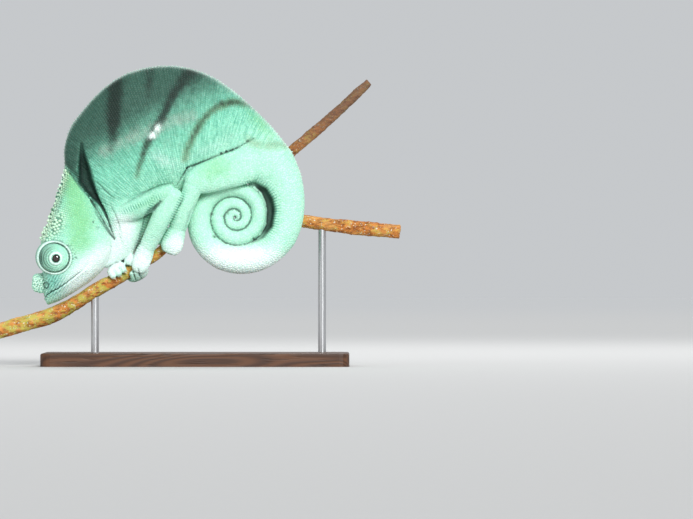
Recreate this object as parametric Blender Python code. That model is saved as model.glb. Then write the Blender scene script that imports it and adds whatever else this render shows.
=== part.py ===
"""A Parson's chameleon roosting on a cut length of branch, carried by a plain display stand.

The animal's left side faces -Y, its head is at -X and +Z is up. The origin is under the middle of the base.
Every size below is in millimetres, and becomes metres only where a mesh is made."""

import random
from math import acos, cos, pi, radians, sin, tau

import bmesh
import bpy
import numpy as np
from mathutils import Matrix, Vector

MM = 0.001
GAP = 0.3  # what neighbours keep between their faces
WELD = 1e-6  # metres: edges shorter than this are closed up

# Trunk: pairs of points in the side view, on the back and on the belly, with the half width, where it is
# widest from the back (0) to the belly (1), and how keeled the back is.
TRUNK_BACK = [(-75.6, 142.8), (-70.8, 149.7), (-57, 165.3), (-40.8, 175.8), (-19.2, 180.2), (1.8, 177),
              (21.3, 166.4), (39.6, 149.7), (48, 140.4)]
TRUNK_BELLY = [(-39, 66), (-33.6, 75.6), (-27.6, 86.4), (-22.8, 94.8), (-18, 99.6), (-10.8, 100.8),
               (0, 106.5), (16.4, 112.5), (30.2, 110.2)]
TRUNK_HALF = [13.2, 14.8, 16.4, 17, 17.2, 17, 16.2, 14.2, 12.6]
TRUNK_WIDE = [0.52, 0.54, 0.56, 0.57, 0.58, 0.58, 0.56, 0.54, 0.52]
BACK_KEEL = 1.3
BELLY_ROUND = 0.9

# Tail: a flat spiral round COIL_CENTRE. Angles run clockwise in the side view from +X, in degrees.
COIL_CENTRE = (23.4, 89.4)
COIL_OUTER_ANGLE = [-62, -48, -21, 0, 90, 180, 270, 360, 450, 540, 630, 720, 810, 900, 990, 1080, 1260, 1440]
COIL_OUTER_RADIUS = [56.3, 51.6, 44.6, 41.4, 34.2, 28.3, 21.8, 19, 17, 14.4, 11.9, 9.9, 8, 6.2, 4.6, 3.3, 0.5,
                     0.2]
COIL_HALF_ANGLE = [-62, -48, 0, 90, 180, 270, 360, 540, 720, 900, 1000, 1130]
COIL_HALF_WIDTH = [12.2, 11, 8.6, 7.5, 6.5, 5.6, 4.9, 3.7, 2.7, 2, 1.6, 1]
COIL_LIE = [(-62, 0), (0, -1), (90, -2.4), (270, -2.6), (600, -3), (1130, -3.4)]
TAIL_END = 1130
TAIL_TIP = 1.9  # thickness at the very tip
TAIL_TAPER = 0.03  # thickness gained for each degree back from the tip
TAIL_CUTS = [-48, 25, 110, 205, 330, 540, TAIL_END]

# Head: pairs on the brow side and the jaw side, from the casque's rear edge to the tip of the snout.
HEAD_BROW = [(-78, 118.8), (-80.4, 109.8), (-83.4, 99.6), (-87.6, 87.6), (-91.6, 78), (-93.6, 68.4),
             (-92.2, 60), (-91.4, 53.4), (-91.3, 47.4), (-91, 43)]
HEAD_JAW = [(-48, 72), (-52.6, 60.6), (-60, 52.8), (-67.4, 47.4), (-74.6, 42.9), (-80.4, 39.6),
            (-84, 38.1), (-87, 37.2), (-88.8, 36.9), (-90, 39.2)]
HEAD_HALF = [13.4, 15, 15.6, 15.2, 13.8, 11.8, 9.8, 7.8, 5.6, 2.6]
HEAD_WIDE = [0.56, 0.56, 0.56, 0.55, 0.54, 0.55, 0.55, 0.5, 0.5, 0.5]
HEAD_ROOF = [1.15, 0.95, 0.78, 0.66, 0.62, 0.66, 0.72, 0.75, 0.8, 0.9]
HEAD_BOW = [2.9, 2.2, 1.2, 0.3, 0, 0, 0, 0, 0, 0]
CASQUE_RIM_AT = 0.1
CASQUE_RIM = [0.9, 1, 1, 0.9, 0.7, 0.5, 0.3, 0.2, 0.1, 0]
MOUTH_AT = [0.84, 0.83, 0.82, 0.815, 0.81, 0.78, 0.71, 0.64, 0.55, 0.5]
MOUTH_DEEP = [0, 0, 0.5, 0.9, 0.9, 0.9, 0.9, 0.8, 0.6, 0.3]
LIP_HALF = 0.9
LIP_PROUD = 0.25

# Eye turrets: centre of the root and of the opening in the side view, and the profile out from the midline.
TURRET_ROOT = (-86.7, 65.8)
TURRET_OPENING = (-83.4, 64.5)
TURRET_PROFILE = [(3.2, 7), (5, 9), (8, 10.1), (10.5, 10.2), (12.6, 9.6), (14.6, 8), (16.2, 5.8), (17.2, 3.8),
                  (17.5, 2.7), (17.2, 2.3), (15.8, 2.1)]
TURRET_SIDES = 18
PUPIL_RADIUS = 1.8

# Rostral appendages: root, middle and blunt tip of one, as pairs above and below with the half width.
ROSTRAL_ABOVE = [(-88.6, 55.6), (-93.4, 55.4), (-96.4, 54.9), (-97.6, 53.2)]
ROSTRAL_BELOW = [(-88.6, 44.6), (-93.6, 43.9), (-97.2, 45.4), (-98.2, 47.6)]
ROSTRAL_HALF = [1.9, 1.9, 1.6, 0.8]
ROSTRAL_OFF = [3, 3.6, 4.1, 4.3]
NOSTRIL = (-88.4, 5.8, 46.4)
NOSTRIL_RADIUS = 1

# Neck: pairs above and below with the half width, from inside the head's rear to the trunk's front.
NECK_NAPE = [(-79, 110), (-78.6, 121), (-78.9, 131)]  # the trunk's own front follows
NECK_THROAT = [(-60, 54.5), (-52.5, 59.5), (-46, 62.4)]
NECK_HALF = [9, 10, 10.8]

# Crest: small cones along the back and nape and along the brow.
CREST_STEP = 2.6
CREST_TALL = 1.25
CREST_ROOT = 0.85
CREST_SUNK = 0.9

# Limbs: x, z, y of the middle, then half the thickness seen from the side and across.
UPPER_ARM_LEFT = [(-52, 90, -7, 6, 5), (-41, 93, -11.5, 6.8, 5), (-30.4, 97, -15.2, 6.7, 4.8),
                  (-21.6, 102.2, -17.6, 5.2, 4.4), (-15.6, 104.6, -18.4, 4.6, 4)]
FOREARM_LEFT = [(-12.6, 102.4, -18.2, 5.2, 4.4), (-19.9, 89.3, -16, 6, 4.6), (-25.4, 78.6, -12, 5.4, 4.2),
                (-29, 71.2, -9.4, 4.8, 3.8)]
UPPER_ARM_RIGHT = [(-52, 90, 7, 6, 5), (-42, 92, 12, 6.6, 5), (-32, 96, 19, 5.6, 4.6),
                   (-23, 100.4, 25.5, 4.6, 4.2)]
FOREARM_RIGHT = [(-22.6, 100, 26.4, 4.8, 4.4), (-29, 89, 21.5, 5.6, 4.6), (-36, 77.4, 14.5, 5, 4),
                 (-41.4, 69, 8.6, 4.4, 3.6)]
THIGH_LEFT = [(50, 130, 1, 4, 3), (41, 127, -4.4, 9, 5), (30, 122, -9.6, 12.6, 6.2),
              (16.6, 117, -13.2, 11.6, 6.2), (5.4, 112.4, -15.3, 9.6, 5.6), (-0.4, 110.4, -16, 7.6, 5)]
SHIN_LEFT = [(-1.4, 107.6, -15.8, 5.8, 4.8), (-4.8, 97.8, -14.2, 5, 4.4), (-7.4, 89.4, -11.6, 4.6, 4),
             (-10.4, 81.6, -8.6, 4.4, 3.8)]
THIGH_RIGHT = [(50, 129, -1.5, 6, 4), (41, 126.6, 4.8, 10.2, 5.4), (30, 123.8, 10.2, 12, 6.2),
               (16.6, 122, 16.6, 10.6, 6), (5, 122, 22, 8, 5.4)]
SHIN_RIGHT = [(3, 120, 22.6, 6, 5), (1.4, 111, 21.6, 5, 4.4), (0.8, 104.4, 19.8, 4.6, 4)]

# Hands and feet: where each holds the branch, its palm, and its two bundles of toes. Round the branch 0 is
# up, 90 is the near side and 180 is down. A bundle has its first and last angle, its number of toes and
# how far along the branch it starts and ends.
GRIPS = {
    "hand_left": dict(
        at_x=-34, palm=[(-29.6, 70.2, -9, 5, 3.8), (-31.6, 65, -8.2, 5.6, 3.6), (-33.8, 58.8, -7.6, 5, 3)],
        bundles=[(100, -10, 2, 3, -3), (112, 275, 3, -1.5, -5)]),
    "hand_right": dict(
        at_x=-45.6, palm=[(-41.8, 68.4, 8.2, 4.6, 3.6), (-43.8, 64.6, 6.2, 5, 3.6), (-45.2, 61.4, 5, 4.4, 3)],
        bundles=[(-60, 66, 3, 0.5, 0.5), (-75, -190, 2, 0, 0)]),
    "foot_left": dict(
        at_x=-15.4,
        palm=[(-10.6, 80.4, -8.8, 4.8, 3.8), (-12.8, 75.6, -8.8, 6.2, 3.6), (-14.9, 70.8, -8, 6.6, 3.3)],
        bundles=[(110, -15, 3, 0, 0), (112, 285, 2, -1.2, -1.8)]),
    "foot_right": dict(
        at_x=-2.6, palm=[(0, 103, 19.2, 4.6, 3.8), (-1, 98, 18.4, 5.4, 3.4), (-2, 93, 17.2, 5, 2.8)],
        bundles=[(-110, 20, 3, 0, 0), (240, 125, 2, 0, 0)]),
}
BUNDLE_THICK = 2.5
TOE_WIDE = 2.1
TOE_PITCH = 3.7
TOE_FREE = 26  # degrees of each toe, round the branch, that stand free of the bundle
TOE_ROOTED = 12  # degrees of each toe that lie inside the bundle
TOE_REACH = 5  # degrees by which every second toe reaches farther
CLAW_LONG = 3.2
CLAW_ROOT = 0.75
CLAW_TURN = 24
CLAW_DROP = 0.6

# Branch: x, z, y of the middle and the radius, from its left end to its fork, then each arm.
BRANCH_MAIN = [(-121.6, 20, 0, 4.6), (-105.6, 24.8, 0, 4.8), (-87.6, 30, 0, 4.7), (-72.6, 37.5, 0, 4.1),
               (-57.6, 47.2, 0, 4.2), (-45.6, 53.2, 0, 3.6), (-36.6, 58.8, 0, 3.2), (-24.6, 66, 0, 3),
               (-15.6, 74.4, 1.2, 2.9), (-8.6, 86, 6, 2.9), (-1, 94, 10.6, 3.1), (5, 96.4, 12.6, 3.3)]
ARM_LEVEL = [(5, 96.4, 12.6, 3.3), (26.4, 93, 13.4, 3.6), (65.4, 86.7, 12.6, 3.7), (92.4, 83.4, 11.6, 4.1),
             (122.2, 80.4, 10.6, 4)]
ARM_RISING = [(4, 95.4, 12.6, 2.4), (16, 97, 15.4, 2.8), (30, 103.6, 18, 3), (44, 115.6, 19, 3),
              (57, 129, 19.6, 3.2), (68.4, 138.3, 20, 3.2), (86.4, 154.2, 20.4, 2.9), (104, 170.7, 20.8, 2.4)]
KNOB_EVERY = 17
KNOB_SWELL = 0.35

# Stand
BASE_LONG = 184
BASE_DEEP = 92
BASE_THICK = 8
BASE_CORNER = 6
BASE_EDGE = 1.2
ROD_RADIUS = 2.4
ROD_LEFT_X = -60.6
ROD_RIGHT_X = 75.6


def smooth(knots, values, at):
    """A smooth curve through the values: one cubic from each knot to the next, with shared slopes."""
    rows = [np.atleast_1d(np.array(value, float)) for value in values]
    last = len(knots) - 1
    at = min(max(at, knots[0]), knots[last])
    left = max(i for i in range(last) if knots[i] <= at)

    def slope(i):
        low = max(i - 1, 0)
        high = min(i + 1, last)
        return (rows[high] - rows[low]) / (knots[high] - knots[low])

    wide = knots[left + 1] - knots[left]
    t = (at - knots[left]) / wide
    start = rows[left] * (1 + 2 * t) * (1 - t) ** 2 + slope(left) * wide * t * (1 - t) ** 2
    end = rows[left + 1] * (3 - 2 * t) * t ** 2 + slope(left + 1) * wide * (t - 1) * t ** 2
    found = start + end
    return found if len(found) > 1 else float(found[0])


def steps(first, last, count):
    """Evenly spaced numbers from first to last, both included."""
    return [first + (last - first) * i / (count - 1) for i in range(count)]


def side_width(f, half, wide, top, bottom):
    """Half width of a slice at the fraction f of its height, down from its back."""
    reach = f / wide - 1 if f < wide else (f - wide) / (1 - wide)
    across = sin(acos(max(-1, min(1, reach))))
    return half * across ** (top if f < wide else bottom)


def slice_ring(back, belly, y, half, wide, top=1.0, bottom=1.0, bow=0.0, levels=14, mouth=None, rim=0.0):
    """One closed ring of an upright slice of the body, from its back down one side and up the other."""
    down = Vector((belly[0] - back[0], 0, belly[1] - back[1]))
    behind = Vector((-down.z, 0, down.x)).normalized()
    fractions = []
    for i in range(levels + 1):
        turn = pi * i / levels
        fractions.append(wide * (1 - cos(turn)) if turn < pi / 2 else wide - (1 - wide) * cos(turn))
    push = [0.0] * len(fractions)
    if mouth:
        line, deep = mouth
        lip = LIP_HALF / down.length
        near = sorted(range(1, levels), key=lambda i: abs(fractions[i] - line))[0]
        near = min(max(near, 2), levels - 2)
        upper = steps(0, line - lip, near)
        lower = steps(line + lip, 1, levels - near)
        fractions = upper + [line] + lower
        fractions[1] = fractions[2] * 0.4
        fractions[-2] = 1 - (1 - fractions[-3]) * 0.4
        push = [0.0] * len(fractions)
        shown = deep / max(MOUTH_DEEP)
        rim_at = min(range(1, near - 1), key=lambda i: abs(fractions[i] - CASQUE_RIM_AT))
        push[rim_at] = rim
        push[near] = -deep
        push[near - 1] = LIP_PROUD * shown
        push[near + 1] = LIP_PROUD * shown
    points = []
    for f, out in zip(fractions, push):
        middle = Vector((back[0], 0, back[1])) + down * f + behind * (bow * 4 * f * (1 - f))
        points.append((middle, side_width(f, half, wide, top, bottom) + out))
    near_side = [middle + Vector((0, y - width, 0)) for middle, width in points]
    far_side = [middle + Vector((0, y + width, 0)) for middle, width in points[-2:0:-1]]
    return near_side + far_side


def loft(rings):
    """A closed bmesh through rings of equal length, its two ends filled with fans."""
    bm = bmesh.new()
    rows = [[bm.verts.new(point * MM) for point in ring] for ring in rings]
    sides = len(rings[0])
    for row, following in zip(rows, rows[1:]):
        for i in range(sides):
            after = (i + 1) % sides
            bm.faces.new((row[i], row[after], following[after], following[i]))
    for row in (rows[0], rows[-1]):
        middle = bm.verts.new(sum((vert.co for vert in row), Vector()) / sides)
        for i in range(sides):
            bm.faces.new((row[i], row[(i + 1) % sides], middle))
    bmesh.ops.recalc_face_normals(bm, faces=bm.faces)
    return bm


def limb(stations, count=8, sides=11, start_cap=0.8, end_cap=0.8, cap_turns=(22, 58), across=(0, 1, 0)):
    """A bent tube with an oval section and round ends through stations of x, z, y and two half sizes.

    The second half size lies along the direction called across."""
    level = Vector(across)
    knots = list(range(len(stations)))
    last = knots[-1]

    def middle(u):
        x, z, y = smooth(knots, [s[:3] for s in stations], u)
        return Vector((x, y, z))

    def ring(u, shrink=1.0, beyond=0.0):
        seen, wide = smooth(knots, [s[3:5] for s in stations], u)
        along = (middle(min(u + 0.05, last)) - middle(max(u - 0.05, 0))).normalized()
        lateral = (level - along * along.dot(level)).normalized()
        upward = lateral.cross(along)
        centre = middle(u) + along * beyond
        return [centre + (upward * cos(a) * seen + lateral * sin(a) * wide) * shrink
                for a in (tau * i / sides for i in range(sides))]

    rings = []
    for turn in cap_turns:
        if start_cap:
            rings.append(ring(0, sin(radians(turn)), -stations[0][3] * start_cap * cos(radians(turn))))
    rings += [ring(u) for u in steps(0, last, count)]
    for turn in reversed(cap_turns):
        if end_cap:
            rings.append(ring(last, sin(radians(turn)), stations[-1][3] * end_cap * cos(radians(turn))))
    return loft(rings)


def tube(stations, spacing, sides=11):
    """A branch of round section through stations of x, z, y and radius, cut square at its ends."""
    knots = [0.0]
    for one, two in zip(stations, stations[1:]):
        knots.append(knots[-1] + (Vector(two[:3]) - Vector(one[:3])).length)
    length = knots[-1]

    def middle(at):
        x, z, y = smooth(knots, [s[:3] for s in stations], at)
        return Vector((x, y, z))

    def ring(at):
        along = (middle(min(at + 1, length)) - middle(max(at - 1, 0))).normalized()
        lateral = (Vector((0, 1, 0)) - along * along.y).normalized()
        upward = lateral.cross(along)
        radius = smooth(knots, [s[3] for s in stations], at)
        radius += KNOB_SWELL * max(0, cos(tau * at / KNOB_EVERY)) ** 4
        return [middle(at) + (upward * cos(a) + lateral * sin(a)) * radius
                for a in (tau * i / sides for i in range(sides))]

    return loft([ring(at) for at in steps(0, length, round(length / spacing) + 1)])


def new_object(name, bm):
    """An object in the scene from a bmesh, which is freed."""
    mesh = bpy.data.meshes.new(name)
    bm.to_mesh(mesh)
    bm.free()
    obj = bpy.data.objects.new(name, mesh)
    bpy.context.scene.collection.objects.link(obj)
    return obj


def keep_largest(obj):
    """Keep only the largest closed surface, with doubled points and spent edges gone."""
    bm = bmesh.new()
    bm.from_mesh(obj.data)
    bmesh.ops.dissolve_degenerate(bm, edges=bm.edges, dist=WELD)
    bmesh.ops.triangulate(bm, faces=bm.faces)
    bmesh.ops.dissolve_degenerate(bm, edges=bm.edges, dist=WELD)
    left = set(bm.faces)
    groups = []
    while left:
        group = {left.pop()}
        front = list(group)
        while front:
            face = front.pop()
            for other in (near for edge in face.edges for near in edge.link_faces):
                if other in left:
                    left.discard(other)
                    group.add(other)
                    front.append(other)
        volume = sum(f.verts[0].co.dot(f.verts[1].co.cross(f.verts[2].co)) for f in group) / 6
        groups.append((volume, group))
    largest = max(groups, key=lambda pair: pair[0])[1]
    bmesh.ops.delete(bm, geom=[face for face in bm.faces if face not in largest], context="FACES")
    bm.to_mesh(obj.data)
    bm.free()


def combine(obj, others, operation, solver="EXACT"):
    """One Boolean of an object with a group of closed ones, which are used up."""
    group = bpy.data.collections.new("joined pieces")
    bpy.context.scene.collection.children.link(group)
    for other in others:
        group.objects.link(other)
    change = obj.modifiers.new("combine", "BOOLEAN")
    change.operand_type = "COLLECTION"
    change.collection = group
    change.operation = operation
    change.solver = solver
    bpy.context.view_layer.objects.active = obj
    bpy.ops.object.modifier_apply(modifier=change.name)
    for other in others:
        bpy.data.objects.remove(other)
    bpy.data.collections.remove(group)
    keep_largest(obj)
    return obj


def swollen(obj, by=GAP):
    """A copy whose surface stands out by the gap, to cut a neighbour clear."""
    bm = bmesh.new()
    bm.from_mesh(obj.data)
    bm.normal_update()
    moves = [vert.normal * by * MM * min(vert.calc_shell_factor(), 1.5) for vert in bm.verts]
    for vert, move in zip(bm.verts, moves):
        vert.co += move
    return new_object(obj.name + "_clearance", bm)


def clear_of(obj, *neighbours):
    """Cut an object back from its neighbours by the gap."""
    return combine(obj, [swollen(other) for other in neighbours], "DIFFERENCE")


def material(name, colour, roughness, metallic=0.0):
    """A plain Principled material of one colour."""
    made = bpy.data.materials.new(name)
    made.use_nodes = True
    shader = made.node_tree.nodes["Principled BSDF"]
    shader.inputs["Base Color"].default_value = (*colour, 1)
    shader.inputs["Roughness"].default_value = roughness
    shader.inputs["Metallic"].default_value = metallic
    return made


def finish(obj, *look, sharp=60):
    """Give an object its own material and smooth shading broken at sharp edges."""
    obj.data.materials.clear()
    obj.data.materials.append(material(obj.name, *look))
    obj.data.shade_smooth()
    obj.data.set_sharp_from_angle(angle=radians(sharp))
    return obj


def branch_at(x):
    """The branch's middle, its direction and its radius where it passes x."""
    knots = [station[0] for station in BRANCH_MAIN]
    z, y, radius = smooth(knots, [station[1:] for station in BRANCH_MAIN], x)
    ahead = smooth(knots, [station[1:3] for station in BRANCH_MAIN], x + 1)
    behind = smooth(knots, [station[1:3] for station in BRANCH_MAIN], x - 1)
    along = Vector((2, ahead[1] - behind[1], ahead[0] - behind[0])).normalized()
    return Vector((x, y, z)), along, radius


def cone(tip, root, radius, sides=5):
    """A closed cone from the middle of its root to its tip."""
    bm = bmesh.new()
    length = (tip - root).length
    bmesh.ops.create_cone(bm, cap_ends=True, cap_tris=True, segments=sides, radius1=radius * MM, radius2=0,
                          depth=length * MM)
    turn = Vector((0, 0, 1)).rotation_difference(tip - root).to_matrix().to_4x4()
    bmesh.ops.transform(bm, verts=bm.verts, matrix=Matrix.Translation((tip + root) / 2 * MM) @ turn)
    return bm


def make_grip(name, at_x, palm, bundles):
    """A hand or foot: a palm and two opposed bundles of fused toes round the branch, with clawed tips."""
    middle, along, radius = branch_at(at_x)
    near = (Vector((0, -1, 0)) + along * along.y).normalized()
    upward = near.cross(along)

    def round_branch(turn, shift, thick):
        out = (upward * cos(radians(turn)) + near * sin(radians(turn))) * (radius + thick + GAP)
        return middle + along * shift + out

    def wrap(first, last, count, start, end, thick, wide):
        path = []
        for t in steps(0, 1, count):
            spot = round_branch(first + (last - first) * t, start + (end - start) * t, thick)
            path.append((spot.x, spot.z, spot.y, thick, wide))
        return path

    pieces = []
    for first, last, toes, start, end in bundles:
        way = 1 if last > first else -1
        free = last - way * TOE_FREE
        wide = TOE_PITCH * (toes - 1) / 2 + TOE_WIDE
        path = wrap(first, free, 5, start, end, BUNDLE_THICK, wide)
        bundle = limb(path, count=5, sides=8, start_cap=0, end_cap=0.4, cap_turns=(45,), across=along)
        pieces.append(new_object(name + "_bundle", bundle))
        for number in range(toes):
            shift = end + TOE_PITCH * (number - (toes - 1) / 2)
            reach = last + way * TOE_REACH * (number % 2)
            path = wrap(free - way * TOE_ROOTED, reach, 3, shift, shift, BUNDLE_THICK * 0.92, TOE_WIDE * 0.9)
            toe = limb(path, count=3, sides=6, start_cap=0, end_cap=0.7, cap_turns=(45,), across=along)
            pieces.append(new_object(name + "_toe", toe))
            tip = round_branch(reach, shift, BUNDLE_THICK)
            beyond = round_branch(reach + way * CLAW_TURN, shift, BUNDLE_THICK - CLAW_DROP)
            point = tip + (beyond - tip).normalized() * CLAW_LONG
            pieces.append(new_object(name + "_claw", cone(point, tip, CLAW_ROOT)))
    hand = new_object(name, limb(palm, count=4, sides=9, end_cap=0.6, cap_turns=(40,)))
    return combine(hand, pieces, "UNION")


def crest_cones(name, points, outwards, seed):
    """Small cones standing on a line of points, varied a little in height."""
    draw = random.Random(seed)
    cones = []
    for point, outward in zip(points, outwards):
        tall = CREST_TALL * draw.uniform(0.75, 1.15)
        bm = cone(point + outward * tall, point - outward * CREST_SUNK, CREST_ROOT * draw.uniform(0.85, 1.1))
        cones.append(new_object(name + "_cone", bm))
    return cones


def line_of_points(outline, first, last):
    """Points evenly spaced along an outline between two of its stations, with their outward directions."""
    knots = list(range(len(outline)))
    fine = [Vector(smooth(knots, outline, u)) for u in steps(first, last, 200)]
    points = []
    outwards = []
    walked = CREST_STEP / 2
    for one, two in zip(fine, fine[1:]):
        walked += (two - one).length
        if walked >= CREST_STEP:
            walked -= CREST_STEP
            along = (two - one).normalized()
            points.append(Vector((two.x, 0, two.y)))
            outwards.append(Vector((-along.y, 0, along.x)))
    return points, outwards


MINT = ((0.42, 0.72, 0.58), 0.55)
PALE_MINT = ((0.62, 0.86, 0.76), 0.55)
LEAF = ((0.45, 0.74, 0.42), 0.55)
TEAL = ((0.16, 0.42, 0.37), 0.6)
EYE_BLACK = ((0.02, 0.02, 0.02), 0.15)
BARK = ((0.48, 0.36, 0.17), 0.85)
BASE_WOOD = ((0.16, 0.09, 0.05), 0.45)
STEEL = ((0.6, 0.6, 0.6), 0.3, 1.0)


def coil_outer(angle):
    """How far the tail's outer edge is from the middle of the spiral."""
    return smooth(COIL_OUTER_ANGLE, COIL_OUTER_RADIUS, angle)


def tail_slice(angle):
    """The tail's ring at an angle of its spiral: each turn lies against the next one in."""
    outer = coil_outer(angle)
    room = outer - coil_outer(angle + 360) - GAP
    thick = min(room, TAIL_TIP + (TAIL_END - angle) * TAIL_TAPER)
    half = smooth(COIL_HALF_ANGLE, COIL_HALF_WIDTH, angle)
    lie = smooth([pair[0] for pair in COIL_LIE], [pair[1] for pair in COIL_LIE], angle)
    ray = Vector((cos(radians(angle)), -sin(radians(angle))))
    centre = Vector(COIL_CENTRE)
    crease = 1 + 0.7 * max(0, cos(radians(angle))) * (angle < 90)
    return dict(back=centre + ray * outer, belly=centre + ray * (outer - thick), y=lie, half=half,
                wide=0.5, top=1.0, bottom=crease)


def make_tail():
    """The tail in six lengths, parted by thin cuts."""
    nodes = []
    for i, (start, end) in enumerate(zip(TAIL_CUTS, TAIL_CUTS[1:])):
        start += degrees_of_gap(start)
        if end < TAIL_END:
            end -= degrees_of_gap(end)
        pitch = 13 if start < 300 else 22
        angles = steps(start, end, round((end - start) / pitch) + 1)
        rings = [slice_ring(**tail_slice(angle), levels=8 if start < 500 else 6) for angle in angles]
        if end == TAIL_END:
            rings.append(tip_ring(rings[-1], 0.5, 1.0))
        node = new_object("tail_%d" % (i + 1), loft(rings))
        nodes.append(finish(node, *(PALE_MINT if i < 3 else MINT)))
    return nodes


def degrees_of_gap(angle):
    """Half a gap at the middle of the tail's thickness, as an angle."""
    return (GAP / 2) / (coil_outer(angle) * 0.7) * 180 / pi


def tip_ring(ring, scale, ahead):
    """A smaller ring just past the last one, which rounds the tail's tip."""
    centre = sum(ring, Vector()) / len(ring)
    spoke = Vector((centre.x - COIL_CENTRE[0], 0, centre.z - COIL_CENTRE[1])).normalized()
    forward = Vector((-spoke.z, 0, spoke.x)) * -1
    return [centre + (point - centre) * scale + forward * ahead for point in ring]


def trunk_slice(u):
    """The trunk's ring at a station, which runs into the tail's first slices."""
    join = tail_slice(TAIL_CUTS[0] - degrees_of_gap(TAIL_CUTS[0]))
    backs = TRUNK_BACK + [tuple(join["back"])]
    bellies = TRUNK_BELLY + [tuple(join["belly"])]
    halves = TRUNK_HALF + [join["half"]]
    wides = TRUNK_WIDE + [join["wide"]]
    lies = [0] * len(TRUNK_BACK) + [join["y"]]
    keels = [BACK_KEEL] * len(TRUNK_BACK) + [join["top"]]
    rounds = [BELLY_ROUND] * len(TRUNK_BACK) + [join["bottom"]]
    knots = list(range(len(backs)))
    u = min(u, knots[-1])
    return dict(back=smooth(knots, backs, u), belly=smooth(knots, bellies, u), y=smooth(knots, lies, u),
                half=smooth(knots, halves, u), wide=smooth(knots, wides, u), top=smooth(knots, keels, u),
                bottom=smooth(knots, rounds, u))


def make_torso():
    """The trunk, from behind the shoulders to the root of the tail."""
    rings = [slice_ring(**trunk_slice(u), levels=12) for u in steps(0, len(TRUNK_BACK), 22)]
    return finish(new_object("torso", loft(rings)), *MINT)


def make_head():
    """The head with its casque, the rims along it, and the line of the mouth between two lips."""
    knots = list(range(len(HEAD_BROW)))
    rings = []
    for u in steps(0, knots[-1], 21):
        mouth = (smooth(knots, MOUTH_AT, u), max(0, smooth(knots, MOUTH_DEEP, u)))
        rings.append(slice_ring(smooth(knots, HEAD_BROW, u), smooth(knots, HEAD_JAW, u), 0,
                                smooth(knots, HEAD_HALF, u), smooth(knots, HEAD_WIDE, u),
                                top=smooth(knots, HEAD_ROOF, u), bottom=0.85, bow=smooth(knots, HEAD_BOW, u),
                                levels=12, mouth=mouth, rim=smooth(knots, CASQUE_RIM, u)))
    return new_object("head", loft(rings))


def make_neck():
    """The neck from inside the casque's rear to the trunk, and the line of its nape."""
    back = Vector(TRUNK_BACK[0])
    belly = Vector(TRUNK_BELLY[0])
    chord = (belly - back).normalized()
    ahead = Vector((chord.y, -chord.x)) * GAP
    napes = NECK_NAPE + [tuple(back + ahead)]
    throats = NECK_THROAT + [tuple(belly + ahead)]
    halves = NECK_HALF + [TRUNK_HALF[0] - 1.6]
    knots = list(range(len(napes)))
    rings = [slice_ring(smooth(knots, napes, u), smooth(knots, throats, u), 0, smooth(knots, halves, u), 0.5,
                        top=1.1, bottom=0.9, levels=11) for u in steps(0, knots[-1], 8)]
    return new_object("neck", loft(rings)), napes


def make_rostral(name, side):
    """One of the two blunt flattened lumps on the snout."""
    knots = list(range(len(ROSTRAL_ABOVE)))
    rings = [slice_ring(smooth(knots, ROSTRAL_ABOVE, u), smooth(knots, ROSTRAL_BELOW, u),
                        side * smooth(knots, ROSTRAL_OFF, u), smooth(knots, ROSTRAL_HALF, u), 0.5, levels=6)
             for u in steps(0, knots[-1], 7)]
    return new_object(name, loft(rings))


def make_nostrils():
    """Two balls that cut the nostrils."""
    pits = []
    for side in (-1, 1):
        bm = bmesh.new()
        bmesh.ops.create_icosphere(bm, subdivisions=2, radius=NOSTRIL_RADIUS * MM)
        bmesh.ops.translate(bm, verts=bm.verts, vec=Vector((NOSTRIL[0], side * NOSTRIL[1], NOSTRIL[2])) * MM)
        pits.append(new_object("nostril", bm))
    return pits


def make_turret(name, side):
    """A cone of fused lids with a small round opening, on one side of the head."""
    first = TURRET_PROFILE[0][0]
    reach = max(out for out, _ in TURRET_PROFILE) - first
    rings = []
    for out, radius in TURRET_PROFILE:
        drift = ((out - first) / reach) ** 1.5
        x = TURRET_ROOT[0] + (TURRET_OPENING[0] - TURRET_ROOT[0]) * drift
        z = TURRET_ROOT[1] + (TURRET_OPENING[1] - TURRET_ROOT[1]) * drift
        rings.append([Vector((x + radius * cos(a), side * out, z + radius * sin(a)))
                      for a in (tau * i / TURRET_SIDES for i in range(TURRET_SIDES))])
    return finish(new_object(name, loft(rings)), *TEAL)


def make_eye(name, side):
    """The small dark part of the eye that the lids leave open."""
    bm = bmesh.new()
    bmesh.ops.create_uvsphere(bm, u_segments=10, v_segments=6, radius=PUPIL_RADIUS * MM)
    floor = TURRET_PROFILE[-1][0] + GAP
    half = 0.7
    bmesh.ops.transform(bm, verts=bm.verts, matrix=Matrix.Diagonal((1, half / PUPIL_RADIUS, 1, 1)))
    place = Vector((TURRET_OPENING[0], side * (floor + half), TURRET_OPENING[1])) * MM
    bmesh.ops.translate(bm, verts=bm.verts, vec=place)
    return finish(new_object(name, bm), *EYE_BLACK)


def make_base():
    """The flat base, with rounded corners and an eased top edge."""
    bm = bmesh.new()
    bmesh.ops.create_cube(bm, size=1)
    bmesh.ops.scale(bm, verts=bm.verts, vec=Vector((BASE_LONG, BASE_DEEP, BASE_THICK)) * MM)
    bmesh.ops.translate(bm, verts=bm.verts, vec=Vector((0, 0, BASE_THICK / 2)) * MM)
    upright = [edge for edge in bm.edges
               if abs(edge.verts[0].co.z - edge.verts[1].co.z) > 0.5 * BASE_THICK * MM]
    bmesh.ops.bevel(bm, geom=upright, offset=BASE_CORNER * MM, segments=4, affect="EDGES", profile=0.5)
    top = [edge for edge in bm.edges
           if all(vert.co.z > 0.9 * BASE_THICK * MM for vert in edge.verts)]
    bmesh.ops.bevel(bm, geom=top, offset=BASE_EDGE * MM, segments=2, affect="EDGES", profile=0.5)
    return finish(new_object("stand_base", bm), *BASE_WOOD, sharp=35)


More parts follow.
